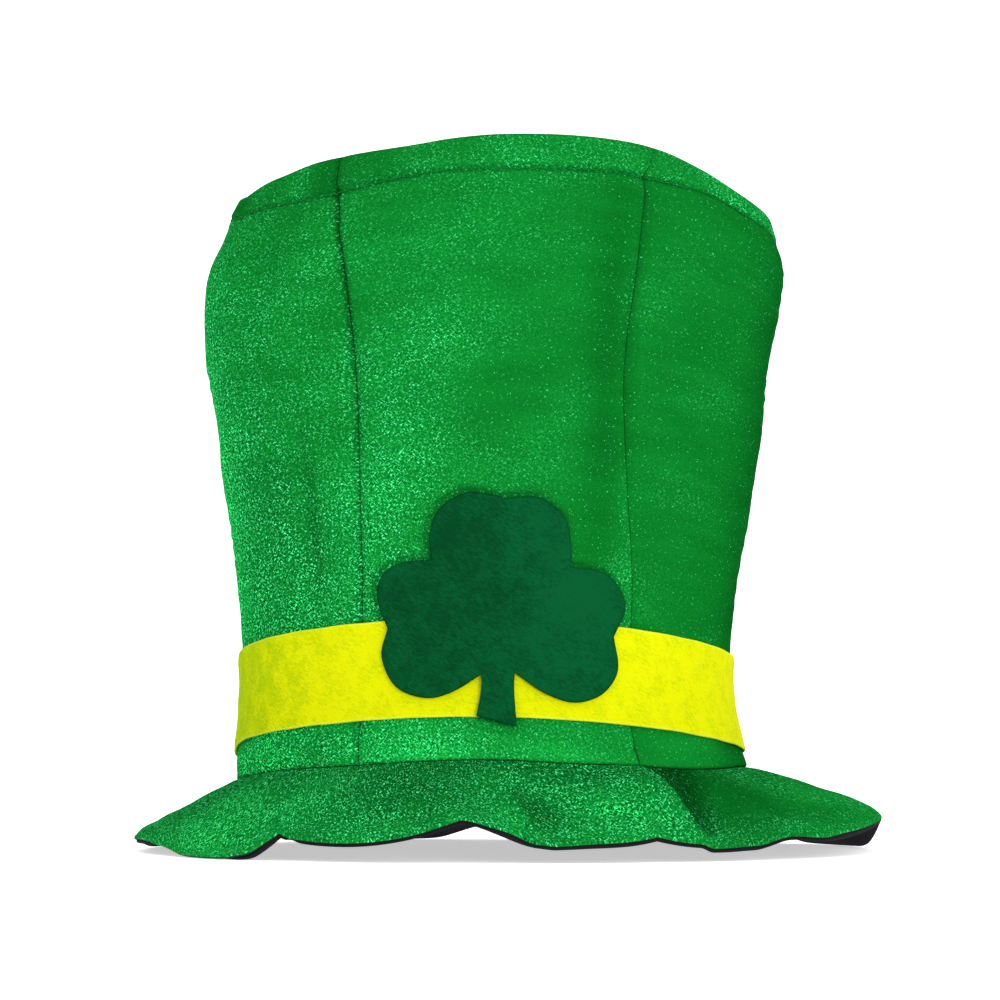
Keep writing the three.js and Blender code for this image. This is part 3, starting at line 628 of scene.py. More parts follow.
def lip_point(size, angle, up, depth):
    """Point on the lip, a share of the way up from the stitched line, leaning in evenly."""
    lean = size.lip_lean * round_curve(TOP_EDGE, angle, "lean") * up
    tall = size.lip_height * round_curve(TOP_EDGE, angle, "tall") * up
    top = np.ones_like(up)
    radius = crown_radius(size, top) - dent_depth(size, angle, top) - lean - depth
    return ring_point(angle, radius, wall_height(size, angle, top) + tall, crown_sway(size, top))


def seam_angle(seam, at):
    """Angle of a panel seam at a section of the wall."""
    _, angle, _, stray, *_ = seam
    rows = {"at": np.array(SEAM_SECTIONS, float), "stray": np.array(stray, float)}
    return angle + curve(rows, "at", np.minimum(at, 1.0), "stray")


def edge_inset(distance, thickness):
    """How far a cloth's two faces draw together near its edge, as a quarter circle: r - sqrt(r² - (r - d)²)
    with r just under half of the thickness."""
    round_by = 0.48 * thickness
    left = np.clip(1 - distance / round_by, 0, 1)
    return round_by * (1 - np.sqrt(1 - left**2))


def spaced(total, fine, coarse, reach):
    """Places from 0 to 1 along a length whose steps grow from fine at both ends to coarse past a reach."""
    x = np.linspace(0, 1, 2001)
    edge = np.minimum(x, 1 - x) * total
    step = fine + (coarse - fine) * ease(edge / reach)
    count = np.concatenate([[0], np.cumsum((1 / step[1:] + 1 / step[:-1]) / 2)])
    steps = int(round(count[-1] * total / 2000))
    return np.interp(np.linspace(0, count[-1], steps + 1), count, x)


def panel_depth(size, angle, across, at, edge, deep):
    """Depth of a panel's outer face under the plain wall: the pull of its seams, exp(-(d / width)²), which the
    brim seam holds off, the puckers beside them, which fade as exp(-d / length), and the velvet's unevenness."""
    rise = at * size.crown_height
    pull = size.seam_pinch * (0.3 + deep) * ease(at / 0.08) * np.exp(-((across / size.seam_pinch_width) ** 2))
    wander = ripples(angle, rise, 40 * MM, size.waist_radius, 11)
    beat = np.sin(2 * np.pi * rise / size.pucker_length + 2.4 * wander)
    strength = np.clip(0.45 + 0.55 * ripples(angle, rise, 30 * MM, size.waist_radius, 12), 0, 1.2)
    pucker = size.pucker * strength * beat * np.exp(-across / size.pucker_length) * ease(edge / (2 * MM))
    uneven = size.nap_relief * (
        ripples(angle, rise, 42 * MM, size.waist_radius, 13)
        + 0.3 * ripples(angle, rise, 14 * MM, size.waist_radius, 14)
    )
    return pull - pucker - uneven * ease(edge / (6 * MM))


def groove_depth(size, angle):
    """Depth of the groove along the stitched line: the crown's round sides stretch three quarters of it flat, by
    exp(-((turn from the side) / 18)²)."""
    side = np.exp(-(((np.abs(angle) - 88) / 18) ** 2))
    return size.stitch_groove * (1 - 0.75 * side)


def stitch_depth(size, angle, distance):
    """Groove of the stitched line, deep × exp(-(d / 1.1 mm)²), with gathers that fade away from it."""
    groove = groove_depth(size, angle) * np.exp(-((distance / (1.1 * MM)) ** 2))
    turns = round(2 * np.pi * size.flare_radius / (0.8 * size.pucker_length))
    wander = ripples(angle, 0 * angle, 50 * MM, size.flare_radius, 21)
    beat = np.sin(np.radians(angle) * turns + 3 * wander)
    return groove - 0.35 * size.pucker * beat * np.exp(-np.abs(distance) / (4.5 * MM))


def panel_grids(size, number):
    """Outer and inner face of one side panel with its part of the lip, as grids [column, row] of points,
    with the angles, the cloth's own coordinates, the path's height and the painted shade in the seam grooves and
    along the stitched line on each.
    The cloth is stretched sideways over the crown's round sides: its width is 0.8 × (angle + 0.175 × sine of
    twice the angle)."""
    left = PANEL_SEAMS[number]
    right = PANEL_SEAMS[(number + 1) % len(PANEL_SEAMS)]
    width = 2 * np.pi * size.flare_radius / len(PANEL_SEAMS)
    share = spaced(width, 0.3 * MM, 1.4 * MM, 6 * MM)[:, None]
    wall_rows = spaced(size.crown_height, 0.35 * MM, 1.6 * MM, 7 * MM)
    lip_rows = spaced(size.lip_height, 0.35 * MM, 0.9 * MM, 4 * MM)[1:]
    at = np.concatenate([wall_rows, np.ones_like(lip_rows)])[None, :]
    up = np.concatenate([np.zeros_like(wall_rows), lip_rows])[None, :]
    turn = 360 if right[1] < left[1] else 0
    half_gap = np.degrees(PANEL_GAP / 2 / size.waist_radius)
    start = seam_angle(left, at) + left[4] * up + half_gap
    end = seam_angle(right, at) + right[4] * up + turn - half_gap
    angle = start + (end - start) * share
    at, up = np.broadcast_to(at, angle.shape), np.broadcast_to(up, angle.shape)
    across = np.minimum(share, 1 - share) * np.radians(end - start) * crown_radius(size, at)
    deep = np.where(share < 0.5, left[2], right[2])
    tall = size.lip_height * round_curve(TOP_EDGE, angle, "tall")
    path = size.crown_height * (at - 1) + tall * up
    to_edge = np.minimum(path + size.crown_height, tall - path)
    edge = np.minimum(across, to_edge)
    seam_inset = edge_inset(across, size.wall * deep * (1 - 0.5 * ease(up / 0.3)))
    inset = np.maximum(seam_inset, edge_inset(to_edge, size.wall))
    in_lip = up > 0
    fade = np.where(in_lip, 1 - 0.7 * ease(up / 0.3), 1)
    depth = fade * panel_depth(size, angle, across, at + up * 0.05, edge, deep) + stitch_depth(size, angle, path)
    depth = depth - size.lip_bulge * ease(up / 0.25) * in_lip
    faces = []
    for below in (depth + inset, depth * 0.6 + size.wall - inset):
        wall = wall_point(size, angle, at, below)
        lip = lip_point(size, angle, up, below)
        faces.append(set_on_brim(size, np.where(in_lip[..., None], lip, wall)))
    stretched = np.radians(angle) + 0.175 * np.sin(2 * np.radians(angle))
    cloth = np.stack([0.8 * size.waist_radius * stretched, path], -1)
    # Painted shade in the seam grooves, stronger higher up and weaker in the lip, and along the stitched line
    strength = (0.35 + 0.9 * ease((at - 0.5) / 0.4)) * (1 - 0.5 * in_lip)
    pressed = deep * np.exp(-((across / (1.5 * MM)) ** 2)) * strength
    pressed = pressed + 0.35 * np.exp(-((path / (1.3 * MM)) ** 2))
    return faces, angle, at, up, cloth, pressed


def lip_stitches(size):
    """Middle lines of the stitches as points [stitch, step], and the thread's radius at each step. They run along
    the stitched line and lie proud of its groove in their middle and sunk at both ends: groove - proud ×
    (1 - 2 |s|³), with s from -1 to 1 along a stitch. The radius is half of the thread × sqrt(1.02 - s⁴)."""
    count = round(2 * np.pi * size.flare_radius / (size.stitch * STITCH_PITCH))
    middle = -180 + 360 * np.arange(count) / count
    half = np.degrees(size.stitch / 2 / size.flare_radius)
    along = np.linspace(-1, 1, 7)
    angle = middle[:, None] + half * along
    sink = groove_depth(size, angle) - STITCH_PROUD * (1 - 2 * np.abs(along) ** 3)
    line = wall_point(size, angle, np.ones_like(angle), sink)
    return set_on_brim(size, line), size.thread / 2 * np.sqrt(np.clip(1.02 - along**4, 0, 1))


def thread_end_line(size):
    """The same as lip_stitches for the thread's loose end: one line up its seam from foot to knot that sways as
    sin 5s, with s from 0 to 1. The radius is thread × (0.35 + 0.75 k) × sqrt(1.01 - (2s - 1)⁸), where the knot k
    is exp(-((s - 0.9) / 0.09)²)."""
    share = np.linspace(0, 1, 15)[None, :]
    foot, knot_at = THREAD_END["foot"], THREAD_END["knot"]
    at = (foot + (knot_at - foot) * share) / size.crown_height
    seam = next(seam for seam in PANEL_SEAMS if seam[0] == THREAD_END["seam"])
    angle = seam_angle(seam, at) + 0.25 * np.sin(5 * share)
    at = section_at(size, angle, at * size.crown_height)
    knot = np.exp(-(((share - 0.9) / 0.09) ** 2))
    depth = panel_depth(size, angle, 0 * at, at, 0 * at, seam[2]) - STITCH_PROUD * knot
    line = wall_point(size, angle, at, depth)
    round_by = size.thread * (0.35 + 0.75 * knot[0]) * np.sqrt(np.clip(1.01 - (2 * share[0] - 1) ** 8, 0, 1))
    return set_on_brim(size, line), round_by


def tip_grids(size):
    """Upper and lower face of the crown's tip as grids [column, row], with angle and distance from the foot. Each
    column runs down the flange from the lip's top and then in to the middle: height over the disc is foot × r² +
    middle × (1 - r²), and the corner between flange and disc is rounded by blending the two."""
    angle = np.linspace(-180, 180, TIP_COLUMNS, endpoint=False)[:, None]
    flange = np.linspace(0.9, 0.0, 14)[None, :]
    disc = np.append(np.linspace(0.985, 0.012, 64), SMALLEST_RING)[None, :]
    depth = size.seam_pinch + size.wall + size.gap
    middle = size.crown_height - size.tip_sag
    faces = []
    for below, lift in ((depth + size.tip_thickness, size.tip_thickness), (depth, 0.0)):
        side = lip_point(size, angle, flange, below + 0 * flange)
        foot = lip_point(size, angle, np.zeros((1, 1)), below + 0 * angle)
        centre = np.array([crown_sway(size, np.array(1.0)), 0, 0])
        flat = centre + (foot - centre) * disc[..., None]
        flat[..., 2] = foot[..., 2] * disc**2 + middle * (1 - disc**2)
        ripple = ripples(angle, disc * 0.1, 36 * MM, size.flare_radius, 62) * disc
        flat[..., 2] += size.nap_relief * 1.6 * ripple * ease((1 - disc) / 0.1)
        face = np.concatenate([side, flat], 1)
        face[..., 2] += lift
        for _ in range(3):
            face[:, 11:19] = (face[:, 10:18] + 2 * face[:, 11:19] + face[:, 12:20]) / 4
        faces.append(set_on_brim(size, face))
    away = np.concatenate([flange * 0.02 + 0 * angle, 0.02 + (1 - disc) * 0.1 + 0 * angle], 1)
    return faces, angle + 0 * away, away


def band_grids(size):
    """Outer and inner face of the band as grids [column, row], that it runs right round, its cloth's coordinates
    and how much of the painted highlight along its cut edges and of the painted shade on its left side shows. Its
    foot is at rise - drop × exp(-(turn / 16)²) + arch × cos 2a - roll × sin a. It stands off the wall, with a
    wobbling edge that curls a little."""
    angle = np.linspace(-180, 180, BAND_COLUMNS, endpoint=False)[:, None]
    share = spaced(size.band_width, 0.25 * MM, 1.5 * MM, 3 * MM)[None, :]
    angle, share = np.broadcast_arrays(angle, share)
    turn = np.radians(angle)
    wobble = 0.1 * MM * ripples(angle, 40 * MM * (share > 0.5), 26 * MM, size.waist_radius, 71)
    drop = size.band_drop * np.exp(-((turn_from(-98, angle) / 16) ** 2))
    foot = size.band_rise - drop + size.band_arch * np.cos(2 * turn) - size.band_roll * np.sin(turn)
    height = foot + size.band_width * share + wobble
    at = section_at(size, angle, height)
    rise = share * size.band_width
    edge = np.minimum(share, 1 - share) * size.band_width
    uneven = 0.22 * MM * ripples(angle, rise, 22 * MM, size.waist_radius, 72)
    curl = 0.1 * MM * (1 - ease(edge / (4 * MM))) * ripples(angle, rise, 45 * MM, size.waist_radius, 73) ** 2
    inset = edge_inset(edge, size.band_thickness)
    lift = BAND_SEAT + curl + uneven * ease(edge / (2 * MM))
    outer = set_on_brim(size, wall_point(size, angle, at, -lift - size.band_thickness + inset))
    inner = set_on_brim(size, wall_point(size, angle, at, -lift - inset))
    # The rim value paints a highlight along the band's edges, and the shade value paints shade on its left side
    rim = 0.6 * (1 - ease((edge - 0.1 * MM) / (0.8 * MM)))
    shade = 0.8 * ease((-angle - 28) / 50) - 0.1
    return outer, inner, True, np.stack([turn * size.waist_radius, rise], -1), {"rim": rim, "shade": shade}


def shamrock_outline():
    """Points round the outline: between two rows lie five on a cubic whose slope at a round row follows the
    row's neighbours, and at a corner the side itself."""
    x, up, corner = (SHAMROCK_OUTLINE[key] for key in ("x", "up", "corner"))
    here = np.stack([x, up], -1)
    ahead, behind, beyond = np.roll(here, -1, 0), np.roll(here, 1, 0), np.roll(here, -2, 0)
    chord = ahead - here
    start = np.where(corner[:, None] > 0, chord, (ahead - behind) / 2)
    end = np.where(np.roll(corner, -1)[:, None] > 0, chord, (beyond - here) / 2)
    t = (np.arange(6) / 6)[None, :, None]
    cubic = (2 * t - 3) * t * t
    points = (
        here[:, None] * (1 + cubic)
        - ahead[:, None] * cubic
        + start[:, None] * t * (1 - t) ** 2
        - end[:, None] * t * t * (1 - t)
    )
    return points.reshape(-1, 2)


def shamrock_painted_shadow(size, angle, at):
    """Painted shadow of the shamrock on the crown's velvet, up and left of it: 1 up to its outline moved
    1.3 mm both ways, then falling to 0 over 2.2 mm."""
    right = crown_radius(size, at) * np.sin(np.radians(angle)) + crown_sway(size, at) - size.shamrock_offset
    up = wall_height(size, angle, at) - size.shamrock_rise
    outline = shamrock_outline() * size.shamrock_width + np.array([-1.3, 1.3]) * MM
    near = (np.abs(angle) < 45) & (at < 0.5)
    pressed = np.zeros(angle.shape)
    if near.any():
        place = np.stack([right[near], up[near]], -1)
        away = np.linalg.norm(place[:, None] - outline[None], axis=-1).min(axis=1)
        pressed[near] = 1 - ease(away / (2.2 * MM))
    return pressed


def shamrock_point(size, x, height, away):
    """Point bent round the crown's front: its angle is the arcsine of x over the radius there, found by four
    steps, and it stands off the band, then eases onto the velvet above."""
    over_band = SHAMROCK_ON_BAND + size.band_thickness
    band_top = size.band_rise + size.band_arch + size.band_width
    settle = ease((height - band_top - 3 * MM) / (14 * MM))
    standoff = over_band + (SHAMROCK_ON_VELVET - over_band) * settle + away
    at = height / size.crown_height
    angle = np.zeros_like(x)
    for _ in range(4):
        radius = crown_radius(size, at) - dent_depth(size, angle, at) + standoff
        angle = np.degrees(np.arcsin((x - crown_sway(size, at)) / radius))
        at = section_at(size, angle, height)
    return ring_point(angle, radius, height, crown_sway(size, at))


def shamrock_grids(size):
    """The same as band_grids for the shamrock: rings that are its outline drawn smaller and smaller towards its
    middle. The painted shade runs evenly across it, darker on the left, with the table's painted highlights and
    shade, each deep × exp(-(distance / wide)²), and painted shade along its cut edge."""
    outline = shamrock_outline() * size.shamrock_width
    rings = 1 - spaced(size.shamrock_width / 2, 0.2 * MM, 1.2 * MM, 2.5 * MM)[None, :]
    rings = np.maximum(rings, SMALLEST_RING)
    flat = outline[:, None] * rings[..., None]
    edge = np.linalg.norm(outline, axis=1)[:, None] * (1 - rings)
    inset = edge_inset(edge, size.shamrock_thickness)
    uneven = 0.18 * MM * ripples(flat[..., 0] * 600, flat[..., 1], 14 * MM, 0.1, 81) * ease(edge / (2 * MM))
    x = size.shamrock_offset + flat[..., 0]
    height = size.shamrock_rise + flat[..., 1]
    outer = set_on_brim(size, shamrock_point(size, x, height, size.shamrock_thickness - inset + uneven))
    inner = set_on_brim(size, shamrock_point(size, x, height, inset))
    across, up = flat[..., 0] / size.shamrock_width, flat[..., 1] / size.shamrock_width
    # Painted shade, darker on the shamrock's left and lighter on its right
    shade = 0.2 - 0.3 * across
    for right, above, wide, deep in zip(*SHAMROCK_PAINTED_LIGHT.values()):
        shade = shade + deep * np.exp(-((np.hypot(across - right, up - above) / wide) ** 2))
    # The rim value paints shade along the shamrock's cut edge
    return outer, inner, True, flat, {"rim": 0.5 * (1 - ease(edge / (1.2 * MM))), "shade": shade}


def brim_fold(size, angle, out):
    """Height of the creases: each rises by the smooth step on its left and falls on its right, with a dip
    beyond, and swells between the crown and the edge as a sine."""
    lift = 0.0
    for _, edge, high, rise, fall, dip, trough, *_ in zip(*BRIM_FOLDS.values()):
        turn = turn_from(edge, angle)
        swell = np.sin(np.pi * (0.02 + 0.90 * out))
        side = np.where(turn < 0, ease(1 + turn / rise), 1 - ease(turn / fall))
        hollow = dip * np.exp(-((turn / trough - 1) ** 2)) * ease(turn / fall)
        lift = lift + high * swell * (side - hollow)
    return size.fold_height * lift


def crease_painted_shade(angle, out):
    """Painted shade beyond the creases, on their shady side: a wedge from the ridge, wide at the crown and closing
    at the hem, whose near side is sharp and whose far side fades."""
    dark = 0.0
    for _, edge, *_, deep, wide, start in zip(*BRIM_FOLDS.values()):
        turn = turn_from(edge, angle)
        reach = wide * np.clip(1 - out / 0.93, 0, 1)
        wedge = ease(turn / 0.9 + 0.5) * (1 - ease((turn - 0.5 * reach) / (0.5 * reach + 5)))
        dark = dark + deep * wedge * ease((out - start) / 0.3) * ease((0.97 - out) / 0.1)
    return dark


def crown_angle(angle):
    """Angle where the line of cloth that ends at an edge angle leaves the crown."""
    moved = 0.0
    for crown, edge in zip(BRIM_FOLDS["crown"], BRIM_FOLDS["edge"]):
        moved = moved + (crown - edge) * np.exp(-((turn_from(edge, angle) / 18) ** 2))
    return angle + moved


def brim_thickness(size):
    """Velvet, gap and lining together."""
    return size.velvet + size.gap + size.lining


def brim_seam(size, angle, radius, height):
    """Point on the brim's margin under the crown, a height above the brim's underside."""
    start = crown_angle(angle)
    level = seam_roll(size, start) - size.gap - brim_thickness(size) + height
    return set_on_brim(size, ring_point(start, radius, level))


def brim_underside(size, angle, out):
    """Point on the brim's underside from the crown (0) to the edge (1): a straight line between them, raised by
    bulge × (1 - (1 - out)^1.7) × (1 - out^14) and by the creases. It settles on the surface as
    (z + sqrt(z² + rest²)) / 2. Shares below 0 lie on the margin under the crown's wall."""
    smooth = {key: round_table(BRIM_EDGE, angle, key) for key in ("lift", "draw", "bulge")}
    inwards = np.minimum(out, 0) * (size.wall + size.gap)
    start = brim_seam(size, angle, seam_radius(size) + size.gap + inwards, 0)
    out = np.maximum(out, 0)
    draw = smooth["draw"] + (cusped_table(BRIM_EDGE, angle, "draw") - smooth["draw"]) * out
    lift = smooth["lift"] + (cusped_table(BRIM_EDGE, angle, "lift") - smooth["lift"]) * out**3
    end = ring_point(angle, size.brim_radius - size.brim_draw * draw, size.wave_height * lift)
    point = start + (end - start) * out[..., None]
    hump = (1 - (1 - out) ** 1.7) * (1 - out**14)
    point[..., 2] += size.brim_bulge * smooth["bulge"] * hump + brim_fold(size, angle, out) * (out > 0)
    point[..., 2] = (point[..., 2] + np.sqrt(point[..., 2] ** 2 + BRIM_REST**2)) / 2
    return point


def brim_stack(size, angle, out):
    """Direction in which the brim's layers are stacked: square to the crown's seam, turning to lean outwards by
    the splay near the edge."""
    lean = size.crown_lean
    seam = np.array([0, math.sin(lean), math.cos(lean)])
    splay = math.radians(BRIM_SPLAY)
    slope = ring_point(angle, math.sin(splay), math.cos(splay))
    turned = ease(out / 0.3)[..., None]
    stack = seam * (1 - turned) + slope * turned
    return stack / np.linalg.norm(stack, axis=-1, keepdims=True)


def brim_grid(size):
    """Angles and shares of the way out of the brim's grid, with closer rows near the crown and the hem, and the
    reach of the brim."""
    angle = np.linspace(-180, 180, BRIM_COLUMNS, endpoint=False)[:, None]
    reach = size.brim_radius - seam_radius(size)
    out = np.concatenate([[-1, -0.6, -0.2], spaced(reach, 0.35 * MM, 1.3 * MM, 6 * MM)])[None, :]
    angle, out = np.broadcast_arrays(angle, out)
    return angle, out, reach


def lining_thickness(size, angle, out, reach):
    """Thickness of the lining. Over the last 5 mm it thins to its hidden edge, or rolls up to its visible one."""
    near = ease(1 - (1 - out) * reach / (5 * MM))
    edge = size.lining_edge + size.lining_roll * np.clip(round_curve(LINING_SHOWS, angle, "share"), 0, 2)
    return size.lining + (edge - size.lining) * near


def velvet_wraps(size, angle, out, reach):
    """How far the velvet's hem is turned down over the lining's edge, over the last 4 mm: fully (1) where nothing
    of the lining shows."""
    hidden = 1 - np.clip(round_curve(LINING_SHOWS, angle, "share") / 0.3, 0, 1)
    return hidden * ease(1 - (1 - out) * reach / (4 * MM))


def brim_relief(size, angle, out, reach):
    """Unevenness of the brim's velvet, with gathers at the crown's seam that fade as exp(-d / 7 mm)."""
    along = np.maximum(out, 0) * reach
    uneven = size.nap_relief * ripples(angle, along, 24 * MM, size.brim_radius, 31)
    turns = round(2 * np.pi * seam_radius(size) / size.pucker_length)
    wander = ripples(angle, 0 * along, 60 * MM, size.brim_radius, 32)
    gather = size.pucker * np.sin(np.radians(angle) * turns + 3 * wander) * np.exp(-along / (7 * MM))
    return (uneven + gather) * ease(along / (3 * MM)) * ease((reach - along) / (5 * MM))


def brim_velvet_faces(size, angle, out, reach):
    """Upper and lower face of the brim's velvet: the brim's underside, carried along the stack by the lining and
    the gap except where the hem is turned down over them, then by the velvet, its rounded edge and its relief."""
    under, stack = brim_underside(size, angle, out), brim_stack(size, angle, out)
    seat = (lining_thickness(size, angle, out, reach) + size.gap) * (1 - velvet_wraps(size, angle, out, reach))
    inset = edge_inset(np.minimum(1 - out, out + 1.05) * reach, size.velvet)
    relief = brim_relief(size, angle, out, reach)
    upper = under + stack * (seat + size.velvet - inset + relief)[..., None]
    return upper, under + stack * (seat + inset)[..., None]


def brim_lining_faces(size, angle, out, reach):
    """The same for the lining, which lies on the underside itself. Where the velvet wraps its edge, it is drawn
    in, each share of the way out made smaller alike."""
    kept = 1 - LINING_DRAWN_IN / reach * velvet_wraps(size, angle, np.ones_like(out), reach)
    under = brim_underside(size, angle, np.where(out > 0, out * kept, out))
    stack = brim_stack(size, angle, out)
    thick = lining_thickness(size, angle, out, reach)
    inset = edge_inset((1 - out) * reach, thick)
    return under + stack * (thick - inset)[..., None], under + stack * inset[..., None]


def grid_faces(columns, rows, wrap, start=0):
    """Corner numbers of the quads of a grid of points that is stored column by column."""
    c = np.arange(columns if wrap else columns - 1)[:, None]
    r = np.arange(rows - 1)[None, :]
    here, there = start + c * rows + r, start + (c + 1) % columns * rows + r
    return np.stack([here, there, there + 1, here + 1], -1).reshape(-1, 4)


def rim_faces(columns, rows, wrap):
    """Corner numbers of the quads that join the borders of two grids stored one after the other."""
    size = columns * rows
    c = np.arange(columns if wrap else columns - 1)
    here, there = c * rows, (c + 1) % columns * rows
    quads = [
        np.stack([here, here + size, there + size, there], -1),
        np.stack([here + rows - 1, there + rows - 1, there + rows - 1 + size, here + rows - 1 + size], -1),
    ]
    if not wrap:
        r = np.arange(rows - 1)
        far = (columns - 1) * rows
        quads.append(np.stack([r, r + 1, r + 1 + size, r + size], -1))
        quads.append(np.stack([far + r, far + r + size, far + r + 1 + size, far + r + 1], -1))
    return np.concatenate(quads)


def enclosed_volume(points, quads):
    """Volume inside a closed mesh: a sixth of the sum of a · (b × c) over the two triangles of each quad."""
    a, b, c, d = (points[quads[:, k]] for k in range(4))
    total = np.einsum("ij,ij->i", a, np.cross(b, c)) + np.einsum("ij,ij->i", a, np.cross(c, d))
    return total.sum() / 6


def make_mesh(name, points, quads, cloth=None, slots=None, values=None):
    """A mesh object from arrays: points, quads turned to face outwards, the cloth's own coordinates as a UV
    map, a material slot for each quad and named values for each point."""
    if enclosed_volume(points, quads) < 0:
        quads = quads[:, ::-1]
    mesh = bpy.data.meshes.new(name)
    mesh.vertices.add(len(points))
    mesh.vertices.foreach_set("co", points.astype(np.float32).ravel())
    mesh.loops.add(quads.size)
    mesh.loops.foreach_set("vertex_index", quads.astype(np.int32).ravel())
    mesh.polygons.add(len(quads))
    mesh.polygons.foreach_set("loop_start", np.arange(0, quads.size, 4, dtype=np.int32))
    mesh.polygons.foreach_set("use_smooth", np.ones(len(quads), bool))
    if slots is not None:
        mesh.polygons.foreach_set("material_index", slots.astype(np.int32))
    if cloth is not None:
        uv = mesh.uv_layers.new(name="cloth")
        uv.data.foreach_set("uv", cloth[quads.ravel()].astype(np.float32).ravel())
    for key, value in (values or {}).items():
        attribute = mesh.attributes.new(key, "FLOAT", "POINT")
        attribute.data.foreach_set("value", value.astype(np.float32).ravel())
    mesh.update()
    mesh.validate()
    piece = bpy.data.objects.new(name, mesh)
    bpy.context.scene.collection.objects.link(piece)
    return piece


def make_shell(name, outer, inner, wrap, cloth, values, two_sided=False):
    """A closed piece of cloth from the grids of its two faces. Its inner face takes the second material."""
    columns, rows = outer.shape[:2]
    points = np.concatenate([outer.reshape(-1, 3), inner.reshape(-1, 3)])
    front = grid_faces(columns, rows, wrap)
    back = grid_faces(columns, rows, wrap, columns * rows)[:, ::-1]
    rim = rim_faces(columns, rows, wrap)
    slots = np.zeros(len(front) + len(back) + len(rim), int)
    if two_sided:
        slots[len(front) : len(front) + len(back)] = 1
    doubled = {key: np.tile(value.ravel(), 2) for key, value in values.items()}
    return make_mesh(
        name, points, np.concatenate([front, back, rim]), np.tile(cloth.reshape(-1, 2), (2, 1)), slots, doubled
    )


def make_stitches(name, line, radius):
    """Capsules carried along short paths: at each point of a path [stitch, step] a ring of the given radius
    stands square to the path, and two quads close each end ring."""
    sides = STITCH_SIDES
    ahead = np.gradient(line, axis=1)
    ahead /= np.linalg.norm(ahead, axis=-1, keepdims=True)
    up = np.array([0.0, 0.0, 1.0])
    side = np.cross(ahead, up)
    side /= np.linalg.norm(side, axis=-1, keepdims=True)
    over = np.cross(side, ahead)
    turn = 2 * np.pi * np.arange(sides) / sides
    ring = side[:, :, None] * np.cos(turn)[:, None] + over[:, :, None] * np.sin(turn)[:, None]
    points = line[:, :, None] + ring * radius[None, :, None, None]
    stitches, steps = line.shape[:2]
    block = steps * sides
    j, k = np.arange(steps - 1)[:, None], np.arange(sides)[None, :]
    quad = np.stack(
        [j * sides + k, j * sides + (k + 1) % sides, (j + 1) * sides + (k + 1) % sides, (j + 1) * sides + k], -1
    ).reshape(-1, 4)
    caps = np.array([[0, 3, 2, 1], [0, 5, 4, 3]])
    ends = np.concatenate([caps, caps[:, ::-1] + block - sides])
    one = np.concatenate([quad, ends])
    quads = (one[None] + (np.arange(stitches) * block)[:, None, None]).reshape(-1, 4)
    return make_mesh(name, points.reshape(-1, 3), quads)


def make_sweep(name):
    """Studio floor and backdrop in one sheet: flat for a way behind the hat, a quarter circle, then upright."""
    front, flat, bend, tall, half_width = (SWEEP[key] for key in ("front", "flat", "bend", "tall", "half_width"))
    turn = np.linspace(0, np.pi / 2, 24)
    depth = np.concatenate([[-front, 0.0], flat + bend * np.sin(turn), [flat + bend]])
    height = np.concatenate([[0.0, 0.0], bend - bend * np.cos(turn), [tall]])
    side = np.linspace(-half_width, half_width, 9)
    points = np.stack(
        [np.repeat(side, len(depth)), np.tile(depth, len(side)), np.tile(height, len(side))], -1
    )
    return make_mesh(name, points, grid_faces(len(side), len(depth), False)[:, ::-1])


def hand_over(piece, nodes, slot, *materials):
    """Gives a piece its materials and ties it to the frame: the body it rides on and the nodes it replaces."""
    for material in materials:
        piece.data.materials.append(material)
    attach(piece, BODY)
    if nodes:
        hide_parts(*nodes)


def add_light(name, place, width, power):
    """A square soft light that looks at the middle of the hat."""
    data = bpy.data.lights.new(name, "AREA")
    data.size = width
    data.energy = power
    light = bpy.data.objects.new(name, data)
    light.location = place
    target = np.array(LIGHT_TARGET) - np.array(place)
    flat = math.hypot(target[0], target[1])
    light.rotation_euler = (math.pi / 2 + math.atan2(target[2], flat), 0, math.atan2(-target[0], target[1]))
    bpy.context.scene.collection.objects.link(light)


def velvet_painted_light(patches, angle, at, glitter, seed, length, radius):
    """Painted light and shade of the velvet: the tone is e to the sum of the patches, tone × exp(-(turn / wide)² -
    (rise / tall)²), and the share of painted glints is a base plus the same sum, both with soft chance patches."""
    tone, share = 0.0, glitter
    for mark, middle, wide, tall, darker, brighter in zip(*patches.values()):
        patch = np.exp(-((turn_from(mark, angle) / wide) ** 2) - ((at - middle) / tall) ** 2)
        tone = tone + darker * patch
        share = share + brighter * patch
    chance = ripples(angle, at * length, 42 * MM, radius, seed)
    return {"tone": np.exp(tone + 0.05 * chance), "glitter": np.clip(share + 0.13 * chance, 0, 2)}


def add_node(tree, kind, links=None, **settings):
    """Adds a shader node, sets its properties and inputs, and links inputs to other nodes' outputs."""
    node = tree.nodes.new(kind)
    for key, value in settings.items():
        if hasattr(node, key):
            setattr(node, key, value)
        else:
            node.inputs[key.replace("_", " ")].default_value = value
    for socket, source in (links or {}).items():
        tree.links.new(source, node.inputs[socket])
    return node


def new_material(name):
    """A material with a Principled shader, and its node tree, with the shader's name as its handle."""
    material = bpy.data.materials.new(name)
    material.use_nodes = True
    tree = material.node_tree
    return material, tree, tree.nodes["Principled BSDF"]


def finish_cloth(tree, shader, colour, roughness, specular, relief=None, strength=0.0, depth=0.0):
    """Links a cloth's colour, sets how little it shines and lets its pattern stand out as relief."""
    tree.links.new(colour, shader.inputs["Base Color"])
    shader.inputs["Roughness"].default_value = roughness
    shader.inputs["Specular IOR Level"].default_value = specular
    if relief is not None:
        bump = add_node(tree, "ShaderNodeBump", {"Height": relief}, Strength=strength, Distance=depth)
        tree.links.new(bump.outputs["Normal"], shader.inputs["Normal"])


